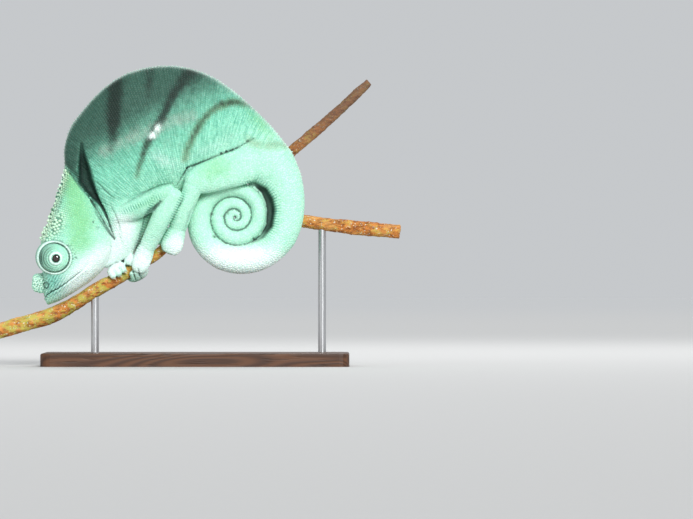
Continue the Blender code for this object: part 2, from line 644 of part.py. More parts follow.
def make_rod(name, x, branch, stations):
    """An upright rod from the base up into a saddle cut to the branch that it carries."""
    below, above = [pair for pair in zip(stations, stations[1:]) if pair[0][0] <= x < pair[1][0]][0]
    share = (x - below[0]) / (above[0] - below[0])
    z, y = (below[i] + (above[i] - below[i]) * share for i in (1, 2))
    low = BASE_THICK + GAP
    bm = bmesh.new()
    bmesh.ops.create_cone(bm, cap_ends=True, segments=20, radius1=ROD_RADIUS * MM, radius2=ROD_RADIUS * MM,
                          depth=(z - low) * MM)
    bmesh.ops.translate(bm, verts=bm.verts, vec=Vector((x, y, (z + low) / 2)) * MM)
    return finish(clear_of(new_object(name, bm), branch), *STEEL)


def main():
    for obj in list(bpy.data.objects):
        bpy.data.objects.remove(obj)
    torso = make_torso()
    tail = make_tail()
    head = make_head()
    neck, napes = make_neck()
    clear_of(neck, head)
    turrets = [make_turret("eye_turret_left", -1), make_turret("eye_turret_right", 1)]
    clear_of(head, *turrets)
    for name, side in (("rostral_appendage_left", -1), ("rostral_appendage_right", 1)):
        finish(clear_of(make_rostral(name, side), head), *TEAL)
    combine(head, make_nostrils(), "DIFFERENCE")
    combine(head, crest_cones("head", *line_of_points(HEAD_BROW, 0.15, 4.2), seed=3), "UNION")
    finish(head, *LEAF)
    make_eye("eye_left", -1)
    make_eye("eye_right", 1)
    main_branch = finish(new_object("perch_main", tube(BRANCH_MAIN, 7)), *BARK)
    level = finish(clear_of(new_object("perch_arm_level", tube(ARM_LEVEL, 8)), main_branch), *BARK)
    rising = new_object("perch_arm_rising", tube(ARM_RISING, 8))
    finish(clear_of(rising, main_branch, level), *BARK)
    make_base()
    make_rod("stand_rod_left", ROD_LEFT_X, main_branch, BRANCH_MAIN)
    make_rod("stand_rod_right", ROD_RIGHT_X, level, ARM_LEVEL)
    made = {}
    arms = (("left", UPPER_ARM_LEFT, FOREARM_LEFT), ("right", UPPER_ARM_RIGHT, FOREARM_RIGHT))
    for side, upper, lower in arms:
        arm = clear_of(new_object("upper_arm_" + side, limb(upper)), torso, neck)
        made["forearm_" + side] = clear_of(new_object("forearm_" + side, limb(lower)), arm, torso, neck)
        made["upper_arm_" + side] = arm
    for side, upper, lower in (("left", THIGH_LEFT, SHIN_LEFT), ("right", THIGH_RIGHT, SHIN_RIGHT)):
        thigh = clear_of(new_object("thigh_" + side, limb(upper)), torso, tail[0])
        shin = new_object("shin_" + side, limb(lower))
        made["shin_" + side] = clear_of(shin, thigh, torso, made["forearm_" + side])
        made["thigh_" + side] = thigh
    for name, sizes in GRIPS.items():
        limb_above = made[name.replace("hand", "forearm").replace("foot", "shin")]
        beside = dict(hand_left=[neck, torso], hand_right=[torso, neck, made.get("hand_left")], foot_left=[],
                      foot_right=[rising, tail[2]])[name]
        made[name] = clear_of(make_grip(name, **sizes), main_branch, limb_above, *beside)
    for name, obj in made.items():
        finish(obj, *(LEAF if "thigh" in name else PALE_MINT))
    combine(torso, crest_cones("torso", *line_of_points(TRUNK_BACK, 0.05, 5.6), seed=5), "UNION")
    finish(torso, *MINT)
    combine(neck, crest_cones("neck", *line_of_points(napes, 1.1, 2.9), seed=4), "UNION")
    finish(neck, *MINT)


main()
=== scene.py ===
"""The looks of a Parson's chameleon roosting on a cut length of branch, on a plain display stand.

Its left side faces -Y, its head is at -X and +Z is up, in metres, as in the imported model."""

import math
import bmesh
import bpy
import numpy as np
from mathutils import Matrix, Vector, noise
from mathutils.bvhtree import BVHTree
from mathutils.geometry import barycentric_transform


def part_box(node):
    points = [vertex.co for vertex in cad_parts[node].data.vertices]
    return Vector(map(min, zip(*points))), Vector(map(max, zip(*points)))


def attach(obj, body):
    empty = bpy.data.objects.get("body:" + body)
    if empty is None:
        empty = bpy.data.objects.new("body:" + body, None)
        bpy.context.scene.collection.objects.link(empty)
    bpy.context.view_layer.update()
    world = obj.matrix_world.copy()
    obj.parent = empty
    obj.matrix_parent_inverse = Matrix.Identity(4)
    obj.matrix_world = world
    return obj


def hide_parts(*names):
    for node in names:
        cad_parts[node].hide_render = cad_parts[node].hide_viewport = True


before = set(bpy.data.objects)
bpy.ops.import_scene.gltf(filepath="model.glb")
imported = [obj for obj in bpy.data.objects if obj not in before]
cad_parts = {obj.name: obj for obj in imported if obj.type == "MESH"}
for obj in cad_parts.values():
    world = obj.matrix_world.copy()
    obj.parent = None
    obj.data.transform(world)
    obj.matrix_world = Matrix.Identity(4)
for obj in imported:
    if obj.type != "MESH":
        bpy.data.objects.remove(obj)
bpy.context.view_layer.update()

bpy.ops.object.select_all(action="DESELECT")


# The hide. On the animal it is one thin skin of fine granular scales, stretched over the flank, folded at the
# neck, elbows and toes, and ringed over the two eye turrets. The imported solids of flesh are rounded, fused
# into one closed surface with no seam, and then worked over with grooves and folds.
FLESH = ["head", "neck", "torso", "tail_1", "tail_2", "tail_3", "tail_4", "tail_5", "tail_6",
         "rostral_appendage_left", "rostral_appendage_right", "eye_turret_left", "eye_turret_right",
         "upper_arm_left", "forearm_left", "hand_left", "upper_arm_right", "forearm_right", "hand_right",
         "thigh_left", "shin_left", "foot_left", "thigh_right", "shin_right", "foot_right"]
MM = 0.001
SKIN_PITCH = 0.5 * MM
SKIN_TRIANGLES = 190000
SKIN_SWELL = 0.22 * MM
WELD_GAP = 2e-6
SPIKE_EDGES = 5
SPIKE_ANGLE = math.radians(160)
FLAT_ANGLE = math.radians(25)
SHARP_ANGLE = math.radians(50)
spikes = {}


def added(name, data):
    """A new object, linked into the scene."""
    obj = bpy.data.objects.new(name, data)
    bpy.context.scene.collection.objects.link(obj)
    return obj


def applied(obj, kind, **settings):
    """Shape an object with one modifier and apply it."""
    bpy.context.view_layer.objects.active = obj
    modifier = obj.modifiers.new(kind.lower(), kind)
    for name, value in settings.items():
        setattr(modifier, name, value)
    bpy.ops.object.modifier_apply(modifier=modifier.name)


def joined(name, forms):
    """Several objects made into one."""
    bpy.ops.object.select_all(action="DESELECT")
    for form in forms:
        form.select_set(True)
    bpy.context.view_layer.objects.active = forms[0]
    bpy.ops.object.join()
    whole = bpy.context.view_layer.objects.active
    whole.name = whole.data.name = name
    whole.select_set(False)
    return whole


def welded_form(name, swell):
    """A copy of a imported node, welded, rounded between its cut borders and swollen a little.

    Its spikes are cut off and kept in a list, as the render has finer ones of its own."""
    form = added(name + "_form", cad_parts[name].data.copy())
    bm = bmesh.new()
    bm.from_mesh(form.data)
    bmesh.ops.remove_doubles(bm, verts=bm.verts, dist=WELD_GAP)
    found = []
    for vert in bm.verts:
        ring = [edge.other_vert(vert).co for edge in vert.link_edges]
        if len(ring) >= SPIKE_EDGES and sum(loop.calc_angle() for loop in vert.link_loops) < SPIKE_ANGLE:
            found.append((vert, vert.co.copy(), sum(ring, Vector()) / len(ring)))
    for vert, tip, root in found:
        vert.co = root
    spikes[name] = [(tip, root) for vert, tip, root in found]
    bmesh.ops.join_triangles(bm, faces=bm.faces, angle_face_threshold=FLAT_ANGLE,
                             angle_shape_threshold=SHARP_ANGLE)
    crease = bm.edges.layers.float.new("crease_edge")
    for edge in bm.edges:
        if edge.is_manifold and edge.calc_face_angle() > SHARP_ANGLE:
            edge[crease] = 1
    bm.to_mesh(form.data)
    bm.free()
    applied(form, "SUBSURF", levels=2, render_levels=2)
    applied(form, "DISPLACE", strength=swell, mid_level=0)
    return form


def fused(name, forms):
    """Several closed forms remeshed into one closed surface, of which the largest body is kept."""
    whole = joined(name, forms)
    applied(whole, "REMESH", mode="VOXEL", voxel_size=SKIN_PITCH)
    bm = bmesh.new()
    bm.from_mesh(whole.data)
    left = set(bm.verts)
    bodies = []
    while left:
        body = {left.pop()}
        front = list(body)
        while front:
            vert = front.pop()
            for edge in vert.link_edges:
                other = edge.other_vert(vert)
                if other in left:
                    left.discard(other)
                    body.add(other)
                    front.append(other)
        bodies.append(body)
    bodies.sort(key=len)
    loose = [vert for body in bodies[:-1] for vert in body]
    bmesh.ops.delete(bm, geom=loose, context="VERTS")
    bm.to_mesh(whole.data)
    bm.free()
    return whole


def points_of(obj, normals=False):
    """An object's vertices, or their normals, as rows of three numbers."""
    found = np.empty(len(obj.data.vertices) * 3, np.float32)
    if normals:
        obj.data.vertex_normals.foreach_get("vector", found)
    else:
        obj.data.vertices.foreach_get("co", found)
    return found.reshape(-1, 3).astype(float)


def edges_of(obj):
    """An object's edges as rows of two vertex numbers."""
    found = np.empty(len(obj.data.edges) * 2, np.int32)
    obj.data.edges.foreach_get("vertices", found)
    return found.reshape(-1, 2)


def move_to(obj, points):
    """Put an object's vertices in new places."""
    obj.data.vertices.foreach_set("co", points.astype(np.float32).ravel())
    obj.data.update()


def relaxed(points, edges, rounds, share=1.0, keep=0.0, step=0.6):
    """Points drawn, step by step, to the middle of their neighbours, and back by the kept share."""
    size = len(points)
    ends = np.concatenate([edges[:, 0], edges[:, 1]])
    others = np.concatenate([edges[:, 1], edges[:, 0]])
    count = np.maximum(np.bincount(ends, minlength=size), 1)[:, None]
    share = np.reshape(share, (-1, 1)) * step
    for turn in range(rounds * (2 if keep else 1)):
        middle = np.stack([np.bincount(ends, points[others, axis], size) for axis in range(3)], 1)
        pull = -keep if keep and turn % 2 else 1.0
        points = points + (middle / count - points) * share * pull
    return points


def along_line(points, line):
    """How far points lie, in the side view, from a line of (x, z) in millimetres; how far along it, from 0 to
    1; and whether they are on its left."""
    flat = points[:, [0, 2]] / MM
    line = np.array(line, float)
    away = np.full(len(flat), np.inf)
    where = np.zeros(len(flat))
    left = np.zeros(len(flat), bool)
    for i, (start, end) in enumerate(zip(line, line[1:])):
        run = end - start
        t = np.clip((flat - start) @ run / (run @ run), 0, 1)
        off = flat - start - t[:, None] * run
        gap = np.linalg.norm(off, axis=1)
        nearer = gap < away
        away[nearer] = gap[nearer]
        where[nearer] = (i + t[nearer]) / (len(line) - 1)
        left[nearer] = (off[:, 1] * run[0] - off[:, 0] * run[1])[nearer] > 0
    return away, where, left


def soft(away, width):
    """1 on a line or at a middle, fading smoothly to 0 at about two widths away."""
    return np.exp(-(np.asarray(away) / width) ** 2)


def blob(points, x, z, long, high, turn=0.0):
    """A soft oval patch in the side view, in millimetres, turned anticlockwise by some degrees."""
    across = points[:, 0] / MM - x
    up = points[:, 2] / MM - z
    c, s = math.cos(math.radians(turn)), math.sin(math.radians(turn))
    return np.exp(-((across * c + up * s) / long) ** 2 - ((up * c - across * s) / high) ** 2)


def stepped(value, low, high):
    """0 below low and 1 above high, with a smooth rise between them."""
    t = np.clip((np.asarray(value, float) - low) / (high - low), 0, 1)
    return t * t * (3 - 2 * t)


# The turrets. Each is a cone of lids fused round the eye: its middle line runs outwards from the eye socket
# and leans back to the opening, and its lids lie in rings, with a thick pale rim round the outside.
TURRET_ROOT = (-86.7, 65.8, 3.2)
TURRET_MOUTH = (-83.4, 64.5, 17.5)
TURRET_DEEP = TURRET_MOUTH[2] - TURRET_ROOT[2]
TURRET_LEAN = 1.5
TURRET_RIM = 9.7
TURRET_EDGE = 10.6
LIDS_EDGE = 8.9
LIDS_GROOVE = 8.8
FOLD_PITCH = 1.2


def turret_middle(lean):
    """Where the middle line of a turret runs in the side view, from 0 at its root to 1 at its mouth."""
    x = TURRET_ROOT[0] + lean * (TURRET_MOUTH[0] - TURRET_ROOT[0])
    z = TURRET_ROOT[1] + lean * (TURRET_MOUTH[1] - TURRET_ROOT[1])
    return x, z


def turret_reach(points):
    """How far points lie from the middle line of their turret, in millimetres, and how far out along it."""
    out = (np.abs(points[:, 1]) / MM - TURRET_ROOT[2]) / TURRET_DEEP
    x, z = turret_middle(np.clip(out, 0, 1) ** TURRET_LEAN)
    return np.hypot(points[:, 0] / MM - x, points[:, 2] / MM - z), out


# Grooves and folds of the hide, as lines in the side view, on both sides of the body. A groove has points,
# half widths and depths at them, and how many times wider it is on the left of the line. A fold has points,
# one half width and one depth. All are in millimetres.
CASQUE_GAP = ([(-68.6, 133), (-68, 125), (-67.2, 118), (-66.6, 111.5), (-62.8, 105), (-59.8, 100.5),
               (-57, 96.5), (-54.4, 91.5), (-52.6, 87.5)],
              [0.8, 1.9, 3.1, 3.8, 2.6, 1.6, 0.9, 0.5, 0.3],
              [1, 3.5, 5.5, 6.5, 5.5, 4.2, 2.2, 0.8, 0.2], 1.25)
CASQUE_EDGE = ([(-79.4, 120.4), (-76, 116.6), (-72.4, 112), (-69.2, 107.6), (-66, 104), (-63, 100.2),
                (-60, 96.2), (-57.2, 92)],
               [0.7, 0.9, 1, 0.9, 0.8, 0.7, 0.6, 0.5],
               [0.6, 1.8, 2.2, 2.2, 2, 1.6, 1.2, 0.3], 3.5)
COIL_GAP = ([(31, 109.8), (35.4, 108.6), (40.4, 104.6), (43, 99.4), (44.2, 93.6), (43.4, 84.6), (39.6, 78.4),
             (33.4, 74)],
            [0.5, 0.9, 1.3, 1.5, 1.5, 1.3, 0.9, 0.5],
            [0.4, 2.5, 4.2, 4.8, 4.8, 4, 2.2, 0.4], 2.3)
MOUTH = ([(-92, 40.8), (-89.9, 41.6), (-88.6, 43), (-86.4, 44.5), (-83.3, 45.9), (-77.8, 49.6),
          (-71.1, 54.8), (-66, 58.6)],
         [0.4] * 8,
         [0.7, 0.7, 0.7, 0.7, 0.6, 0.45, 0.3, 0.05], 1.0)
NOSTRIL = (-88.4, 6.4, 46.4)
FOLDS = [
    ([(-59.6, 102.5), (-54.2, 92.3), (-48.4, 76.3)], 0.6, 1.1),
    ([(-62.7, 99), (-56.6, 89.8), (-51.7, 80.6), (-48.7, 75.7)], 0.6, 1.1),
    ([(-60.3, 92.9), (-55.4, 84.9), (-51.6, 78.6)], 0.5, 0.8),
    ([(-51, 97), (-47, 88), (-44.5, 80)], 0.5, 0.5),
    ([(-59.4, 110.4), (-54, 105), (-48.7, 100.2)], 0.6, 0.6),
    ([(-10.8, 108.8), (-8.4, 113), (-4.8, 118.8), (2.4, 121.8), (15.6, 127.2), (26.4, 131.4), (35, 136.6)],
     0.6, 0.85),
    ([(-44.6, 95.8), (-39.6, 99), (-33.6, 102), (-27.6, 105.2), (-21.6, 107.8), (-14, 109.6)], 0.6, 0.5),
    ([(-30.6, 89.4), (-27.6, 92.4), (-24.6, 94.8), (-21, 98.4)], 0.9, 1.2),
    ([(-30.2, 90.5), (-31.5, 84), (-34, 76), (-37, 68.5)], 0.5, 0.7),
    ([(-31.6, 50.4), (-33.4, 54), (-34.6, 58.4)], 0.55, 0.9),
    ([(-35.2, 49.6), (-36.6, 53), (-37.6, 57)], 0.5, 0.9),
    ([(-7.2, 81), (-5.4, 85.2), (-4.2, 88.8), (-3, 92.4), (0, 96.6)], 0.5, 0.4),
]


def nostril_reach(points):
    """How far points lie from the middle of the nearer nostril, in millimetres."""
    return np.linalg.norm(np.abs(points / MM) * (-1, 1, 1) - NOSTRIL, axis=1)


def gap_depth(points, gap):
    """How deep a groove is at each point, in millimetres."""
    line, widths, depths, lean = gap
    away, where, left = along_line(points, line)
    knots = np.linspace(0, 1, len(line))
    width = np.interp(where, knots, widths) * np.where(left, lean, 1)
    return np.interp(where, knots, depths) * (1 - stepped(away / width, 0.45, 1.35))


def fold_depth(points):
    """How deep the folds are at each point, in millimetres."""
    depth = np.zeros(len(points))
    for line, wide, deep in FOLDS:
        away, where, left = along_line(points, line)
        depth += deep * soft(away, wide) * np.sin(np.pi * np.clip(where, 0.06, 0.94)) ** 0.4
    return depth


# The flesh is smoothed as a whole, less at the snout, hands and feet. Where a limb grows from the trunk, and
# along the nape and the back, the hide runs on with no step, and the near shin swells against the forearm.
FINE_FORMS = [(-84, 56, 16), (-38, 60, 13), (-16, 74, 11), (-2, 94, 11)]
LIMB_ROOTS = [(38, 12, 123, 12), (-44, 11, 92, 9), (-54, 11, 88, 7), (38, -12, 122, 12), (-44, -11, 92, 8),
              (-54, -11, 88, 7)]
NAPE = [(-76, 142), (-38, 66)]
BACK_FOOT = 0.118
SHIN_SWELL = 2.6 * MM

skin = fused("skin", [welded_form(name, SKIN_SWELL) for name in FLESH])
body = points_of(skin)
links = edges_of(skin)
fine = np.maximum.reduce([blob(body, x, z, reach, reach) for x, z, reach in FINE_FORMS])
body = relaxed(body, links, 5, 1 - 0.8 * np.clip(fine, 0, 1), keep=1.03)
body = relaxed(body, links, 2, 1 - 0.8 * np.clip(fine, 0, 1))
roots = np.zeros(len(body))
for x, y, z, reach in LIMB_ROOTS:
    gap = np.linalg.norm(body / MM - (x, y, z), axis=1)
    roots = np.maximum(roots, np.clip(1.5 - gap / reach, 0, 1))
body = relaxed(body, links, 45, roots)
body = relaxed(body, links, 25, soft(along_line(body, NAPE)[0], 2.5))
body = relaxed(body, links, 12, soft(body[:, 1] / MM, 2.2) * (body[:, 2] > BACK_FOOT))
move_to(skin, body)

out = points_of(skin, normals=True)
fuller = blob(body, -15, 88, 5, 10, -25) * np.clip(-out[:, 0] * 1.5, 0, 1) * (body[:, 1] < 2 * MM)
body += out * (SHIN_SWELL * fuller)[:, None]
body = relaxed(body, links, 12, np.clip(blob(body, -17, 85, 7, 9, -25), 0, 1) * (body[:, 1] < 4 * MM))
move_to(skin, body)

# The gaps behind the casque and inside the tail's coil are deep, and are cut straight in from each side.
out = points_of(skin, normals=True)
facing = stepped(np.abs(out[:, 1]), 0.25, 0.7)
inwards = np.maximum.reduce([gap_depth(body, gap) for gap in (CASQUE_GAP, CASQUE_EDGE, COIL_GAP)]) * facing
body[:, 1] -= np.sign(body[:, 1]) * np.minimum(inwards * MM, np.abs(body[:, 1]) * 0.8)
body = relaxed(body, links, 3, np.clip(inwards, 0, 1))
move_to(skin, body)

# Then come the rings of the lids, the wrinkles of the snout, the warts of the lumps, the mouth with its lower
# lip, the nostrils and the folds.
out = points_of(skin, normals=True)
reach, along = turret_reach(body)
on_turret = stepped(TURRET_EDGE - reach, 0, 0.5) * stepped(along, 0.35, 0.5)
lift = 0.14 * np.sin(2 * np.pi * reach / FOLD_PITCH) * stepped(LIDS_EDGE - reach, 0, 1)
lift += 0.35 * soft(reach - TURRET_RIM, 0.5) - 0.45 * soft(reach - LIDS_GROOVE, 0.4)
lift += 0.35 * soft(reach - 3.2, 0.6)
wrinkle = np.sin(2 * np.pi * (body[:, 0] * 0.87 - body[:, 2] * 0.5) / (1.5 * MM))
snout = blob(body, -84, 48, 8, 8) * (1 - on_turret)
fresh = lift * on_turret + 0.17 * wrinkle * snout - fold_depth(body) * facing * (1 - on_turret)
lump = blob(body, -95, 49.5, 4, 6)
for i in np.flatnonzero(lump > 0.05):
    fresh[i] += lump[i] * 0.55 * noise.noise(Vector(body[i]) * 620)
fresh -= gap_depth(body, MOUTH) + 0.9 * soft(nostril_reach(body), 0.8)
fresh += 0.35 * soft(along_line(body, [(x - 0.4, z - 1.4) for x, z in MOUTH[0]])[0], 0.7)
body += out * (fresh * MM)[:, None]
move_to(skin, body)
dense = body
dense_out = points_of(skin, normals=True)
applied(skin, "DECIMATE", ratio=min(1, SKIN_TRIANGLES / (2 * len(skin.data.polygons))))
skin.data.shade_smooth()


# The markings, each from 0 to 1, are worked out from a point's place, so that hide, scales and spines carry
# the same ones. Bands and lines have points, widths and a strength, and patches a strength, a middle, two
# half lengths and a turn, all in the side view and in millimetres.
BANDS = [
    ([(-48.6, 178), (-48.6, 164.4), (-49, 151.2), (-49.2, 140.4), (-50.4, 129.6)],
     [5.6, 5.2, 5, 4.2, 2.4], 1.0),
    ([(-27, 181.2), (-27.6, 172.8), (-28.5, 162)], [4, 3.4, 2], 0.6),
    ([(1, 181), (-8.3, 170.6), (-12.2, 164.7), (-16.1, 157.6), (-20, 149.1), (-23.9, 142), (-28.4, 134.2),
      (-31.1, 127.6), (-33.7, 119.8), (-35, 113.4)], [6, 4.4, 3.4, 3, 3, 3, 2.8, 2.4, 2, 1.2], 0.85),
    ([(46, 148), (39.6, 154), (30.8, 157.6), (21, 158.5), (14.5, 156.9), (9.3, 153), (4.7, 147.8),
      (0.8, 142), (-2.4, 136.1), (-5, 129.6), (-6.4, 123.7)],
     [4, 3.6, 2.8, 2.6, 2.4, 2.4, 2.2, 2.2, 2, 1.8, 1], 0.6),
]
OLIVE_LINES = [
    ([(54, 133), (44.4, 132), (37.2, 132.6), (31.8, 135)], 4, 0.6),
    ([(39.6, 154), (30.8, 157.6), (21, 158.5), (9.3, 153), (0.8, 142), (-5, 129.6), (-6.4, 123.7)], 3, 0.8),
    ([(-28.4, 134.2), (-33.7, 119.8), (-35, 113.4)], 2.6, 0.6),
]
GREEN_LINE = [(-76.2, 115), (-72.6, 106), (-70.4, 96), (-68.5, 86), (-69, 76)]
HAZE_LINE = [(-54.6, 128.4), (-36, 137.4), (-22.8, 142.8), (-12.6, 147), (-2.4, 149.4)]
# WHITE patches are partly the animal's own white, as under the jaw, and partly painted light, as under the
# tail and in a band above the flank's lower crease.
WHITE = [(1.25, -60, 57, 26, 10.5, 38), (1.3, 26, 58, 38, 14, 0), (0.8, -44, 84, 9, 9, 0),
         (0.3, 8, 130, 17, 5, 25), (0.7, -12, 72, 8, 8, 0), (0.8, -32, 62, 7, 9, 0),
         (0.4, -20, 124, 14, 6, -30)]
GREEN = [(0.6, 12, 118, 15, 8, 20), (0.5, 38, 147, 16, 7, -48), (0.45, -28, 98, 14, 4, 30)]
DARK_DOTS = [(23.6, 89.2, 1.1), (-4.8, 118.8, 0.9), (15.6, 127.2, 0.7), (18.6, 128.3, 0.8),
             (21.6, 129.2, 0.8), (31.2, 135, 0.6), (9.7, 91, 0.8), (11, 77.6, 0.8), (34.8, 76.3, 1),
             (19.3, 91.6, 0.6), (-58.5, 83, 0.7), (-61, 86.5, 0.6), (-74.6, 72, 0.5), (-73.4, 69.6, 0.5),
             (-72.4, 67, 0.5), (-71.4, 65, 0.6), (-73, 64.6, 0.5)]
CASQUE_REAR = [(-84, 125), (-79.2, 120.2), (-75.8, 116.4), (-72.2, 111.8), (-69, 107.4), (-65.8, 103.8),
               (-62.8, 100), (-59.8, 96), (-57, 91.8), (-53, 82), (-48, 70), (-46, 60)]
CASQUE_FRONT = [(-78.4, 119.4), (-81.1, 109.4), (-84.2, 100.2), (-87.6, 91.6), (-91.2, 82.5), (-92.4, 77)]
FLANK_FOOT = ([-60, -46, -30, -12, 0, 12, 34, 50, 60], [84, 98, 103, 111, 121, 127, 137, 128, 118])


def flank_foot(x):
    """The height, in millimetres, at which the flank meets the limbs in the side view."""
    return np.interp(x, *FLANK_FOOT)


def patches(points, table):
    """Several soft patches together."""
    return sum(full * blob(points, *oval) for full, *oval in table)


def streaked(points, amount):
    """The bands, the olive lines and the haze, where the given amount lets them show."""
    band = np.zeros(len(points))
    for line, widths, full in BANDS:
        away, where, left = along_line(points, line)
        wide = np.interp(where, np.linspace(0, 1, len(widths)), widths)
        band = np.maximum(band, full * np.exp(-(away / wide) ** 2) * (1 - 0.5 * stepped(where, 0.7, 1)))
    olive = np.zeros(len(points))
    for line, wide, full in OLIVE_LINES:
        olive = np.maximum(olive, full * soft(along_line(points, line)[0], wide))
    haze = 0.7 * soft(along_line(points, HAZE_LINE)[0], 5)
    return dict(band=band * amount, olive=olive * amount, haze=haze * amount)


def shaded(points, x, z, reach, turret):
    """Painted shade in grooves, folds, the mouth, the nostrils and the snout's wrinkles, with the dark dots;
    and on the turrets painted shade in the lid rings, round the eye and on the front lids.
    """
    weave = np.sin(2 * np.pi * (x * 0.87 - z * 0.5) / 1.9) * np.sin(2 * np.pi * (x * 0.5 + z * 0.87) / 5)
    dashes = 0.5 * stepped(weave, 0.1, 0.7) * blob(points, -86, 50, 7, 8)
    dashes = np.maximum(dashes, 0.9 * soft(np.hypot(x + 89.6, z - 48.4) - 1.6, 0.5))
    for dot_x, dot_z, wide in DARK_DOTS:
        dashes = np.maximum(dashes, blob(points, dot_x, dot_z, wide, wide))
    grooves = np.maximum(gap_depth(points, CASQUE_GAP), gap_depth(points, COIL_GAP)) / 3.2
    grooves += 0.75 * fold_depth(points) + 0.22 * gap_depth(points, CASQUE_EDGE)
    grooves += 0.35 * gap_depth(points, MOUTH) + 0.9 * soft(nostril_reach(points), 0.9)
    ring = soft(reach - LIDS_GROOVE, 0.38) + 0.9 * soft(reach - TURRET_EDGE, 0.38)
    ring += stepped(-reach, -2.7, -2.3) + 0.75 * stepped(-x, 90.4, 93.6) * stepped(LIDS_EDGE - reach, 0, 1)
    lids = 0.25 + 0.75 * (0.5 - 0.5 * np.sin(2 * np.pi * reach / FOLD_PITCH))
    lids *= 0.85 * stepped(8.6 - reach, 0, 1) * stepped(reach, 3.6, 4.6) * stepped(-x, 80, 91)
    return np.clip((grooves + dashes) * (1 - turret) + turret * (ring + lids), 0, 1)


def markings(points):
    """The share of each pigment at points on the animal, by name; the shade is painted shade, and the dusk,
    pale and white hold painted light and shade as well as colour.
    """
    x = points[:, 0] / MM
    z = points[:, 2] / MM
    rear, where, left = along_line(points, CASQUE_REAR)
    head = 1 / (1 + np.exp(np.clip(np.where(left, rear, -rear) / 0.5, -30, 30)))
    reach, along = turret_reach(points)
    turret = stepped(10.8 - reach, 0, 0.4) * stepped(along, 0.3, 0.5)
    # The dusk: darker towards the top and the front, partly the dusky colour of the back and partly painted
    # shade; on the neck behind the casque it is painted shade.
    dusk_and_shade = np.clip(1.05 * (z - 112) / 50 - (x + 40) / 90, 0, 1)
    dusk_and_shade = np.maximum(dusk_and_shade, blob(points, -76, 126, 12, 18) * (1 - head))
    # The pale: lighter towards the bottom and the back, partly the animal's paler underside and partly
    # painted light.
    pale = np.clip(1.5 - (z - 62) / 66 + (x - 10) / 120, 0, 1)
    pale = np.maximum(pale, blob(points, -60, 59, 29, 13, 37))
    pale = np.maximum(pale, 0.9 * blob(points, 22, 66, 34, 17))
    green = 0.75 * soft(along_line(points, GREEN_LINE)[0], 10) * head + patches(points, GREEN)
    spot = np.maximum(blob(points, -22.6, 142.2, 1.5, 2.4, -20), blob(points, -25.6, 138.2, 2.2, 1.7, 20))
    fan = (1 - head) * stepped(z - flank_foot(x), -3, 3) * (1 - 0.7 * stepped(x, 32, 52))
    fan += 0.2 * blob(points, 44, 118, 22, 18)
    lump = blob(points, -94.5, 49.5, 4, 6)
    rough = soft(along_line(points, CASQUE_FRONT)[0], 3.4) * head + 0.9 * blob(points, -83, 85, 4, 9, -25)
    rough = np.clip(rough + 0.7 * lump, 0, 1) * (1 - turret)
    # The rim: the turret's pale outer rim, and a pale ring round the eye opening that is a painted highlight
    # on the lids.
    rim = turret * np.clip(soft(reach - TURRET_RIM, 0.42) + soft(reach - 3.4, 0.7), 0, 1)
    ridge = soft(points[:, 1] / MM, 1.7 + 1.2 * stepped(x, -5, 25)) * stepped(z, 98, 112)
    return dict(streaked(points, 1 - head), dusk_and_shade=dusk_and_shade * (1 - head), pale=np.clip(pale, 0, 1),
                green=np.clip(green, 0, 1) * (1 - turret), spot=np.clip(spot * 1.6, 0, 1),
                aqua=blob(points, -84, 50, 12, 10) * (1 - turret),
                white=np.clip(patches(points, WHITE), 0, 1) * (1 - turret),
                fan=np.clip(fan, 0, 1), lump=lump, rough=rough, rim=rim, ridge=ridge,
                shade=shaded(points, x, z, reach, turret))


# The finest folds are only lines of shade. They cross the forearm, upper arm, shin and thigh, each as a strip
# from a start to an end, and lie on the snout, on the neck and round the gap inside the tail's coil.
LIMB_CREASES = [((-19, 106), (-33.5, 64), 3.8), ((-50, 92), (-18, 106), 2.4), ((0, 108), (-16, 72), 4.2),
                ((22, 110), (36, 115), 3.5)]
NECK_LINE = [(-61.5, 101), (-54, 88), (-47.5, 76)]
COIL_MIDDLE = (24, 90)


def creases(points):
    """How far across its fine folds each point lies, in millimetres, and how deep they are, from 0 to 1."""
    flat = points[:, [0, 2]] / MM
    phase = np.zeros(len(points))
    amount = np.zeros(len(points))
    for start, end, wide in LIMB_CREASES:
        run = np.array(end, float) - start
        long = np.linalg.norm(run)
        run /= long
        t = (flat - start) @ run
        aside = (flat[:, 0] - start[0]) * run[1] - (flat[:, 1] - start[1]) * run[0]
        here = stepped(t, 2, 8) * (1 - stepped(t, long - 6, long)) * stepped(aside, wide - 2.8, wide)
        here *= 1 - stepped(aside, wide + 1, wide + 2.5)
        phase = np.where(here > amount, t, phase)
        amount = np.maximum(amount, here)
    here = 0.95 * blob(points, -84, 49, 7.5, 8)
    phase = np.where(here > amount, flat[:, 0] * 0.87 - flat[:, 1] * 0.5, phase)
    amount = np.maximum(amount, here)
    away, where, left = along_line(points, NECK_LINE)
    here = 0.8 * soft(away, 4.5) * np.sin(np.pi * where)
    phase = np.where(here > amount, np.where(left, away, -away) * 1.3, phase)
    amount = np.maximum(amount, here)
    away, where, left = along_line(points, COIL_GAP[0])
    turn = np.arctan2(flat[:, 1] - COIL_MIDDLE[1], flat[:, 0] - COIL_MIDDLE[0]) * 24
    here = left * stepped(away, 1.2, 2.4) * (1 - stepped(away, 4, 8.5)) * np.sin(np.pi * where)
    phase = np.where(here > amount, turn, phase)
    return phase, np.maximum(amount, here)


def paint(obj, values):
    """Keep each pigment on an object's points, for its material."""
    for name, amount in values.items():
        layer = obj.data.attributes.new(name, "FLOAT", "POINT")
        layer.data.foreach_set("value", np.asarray(amount, np.float32))


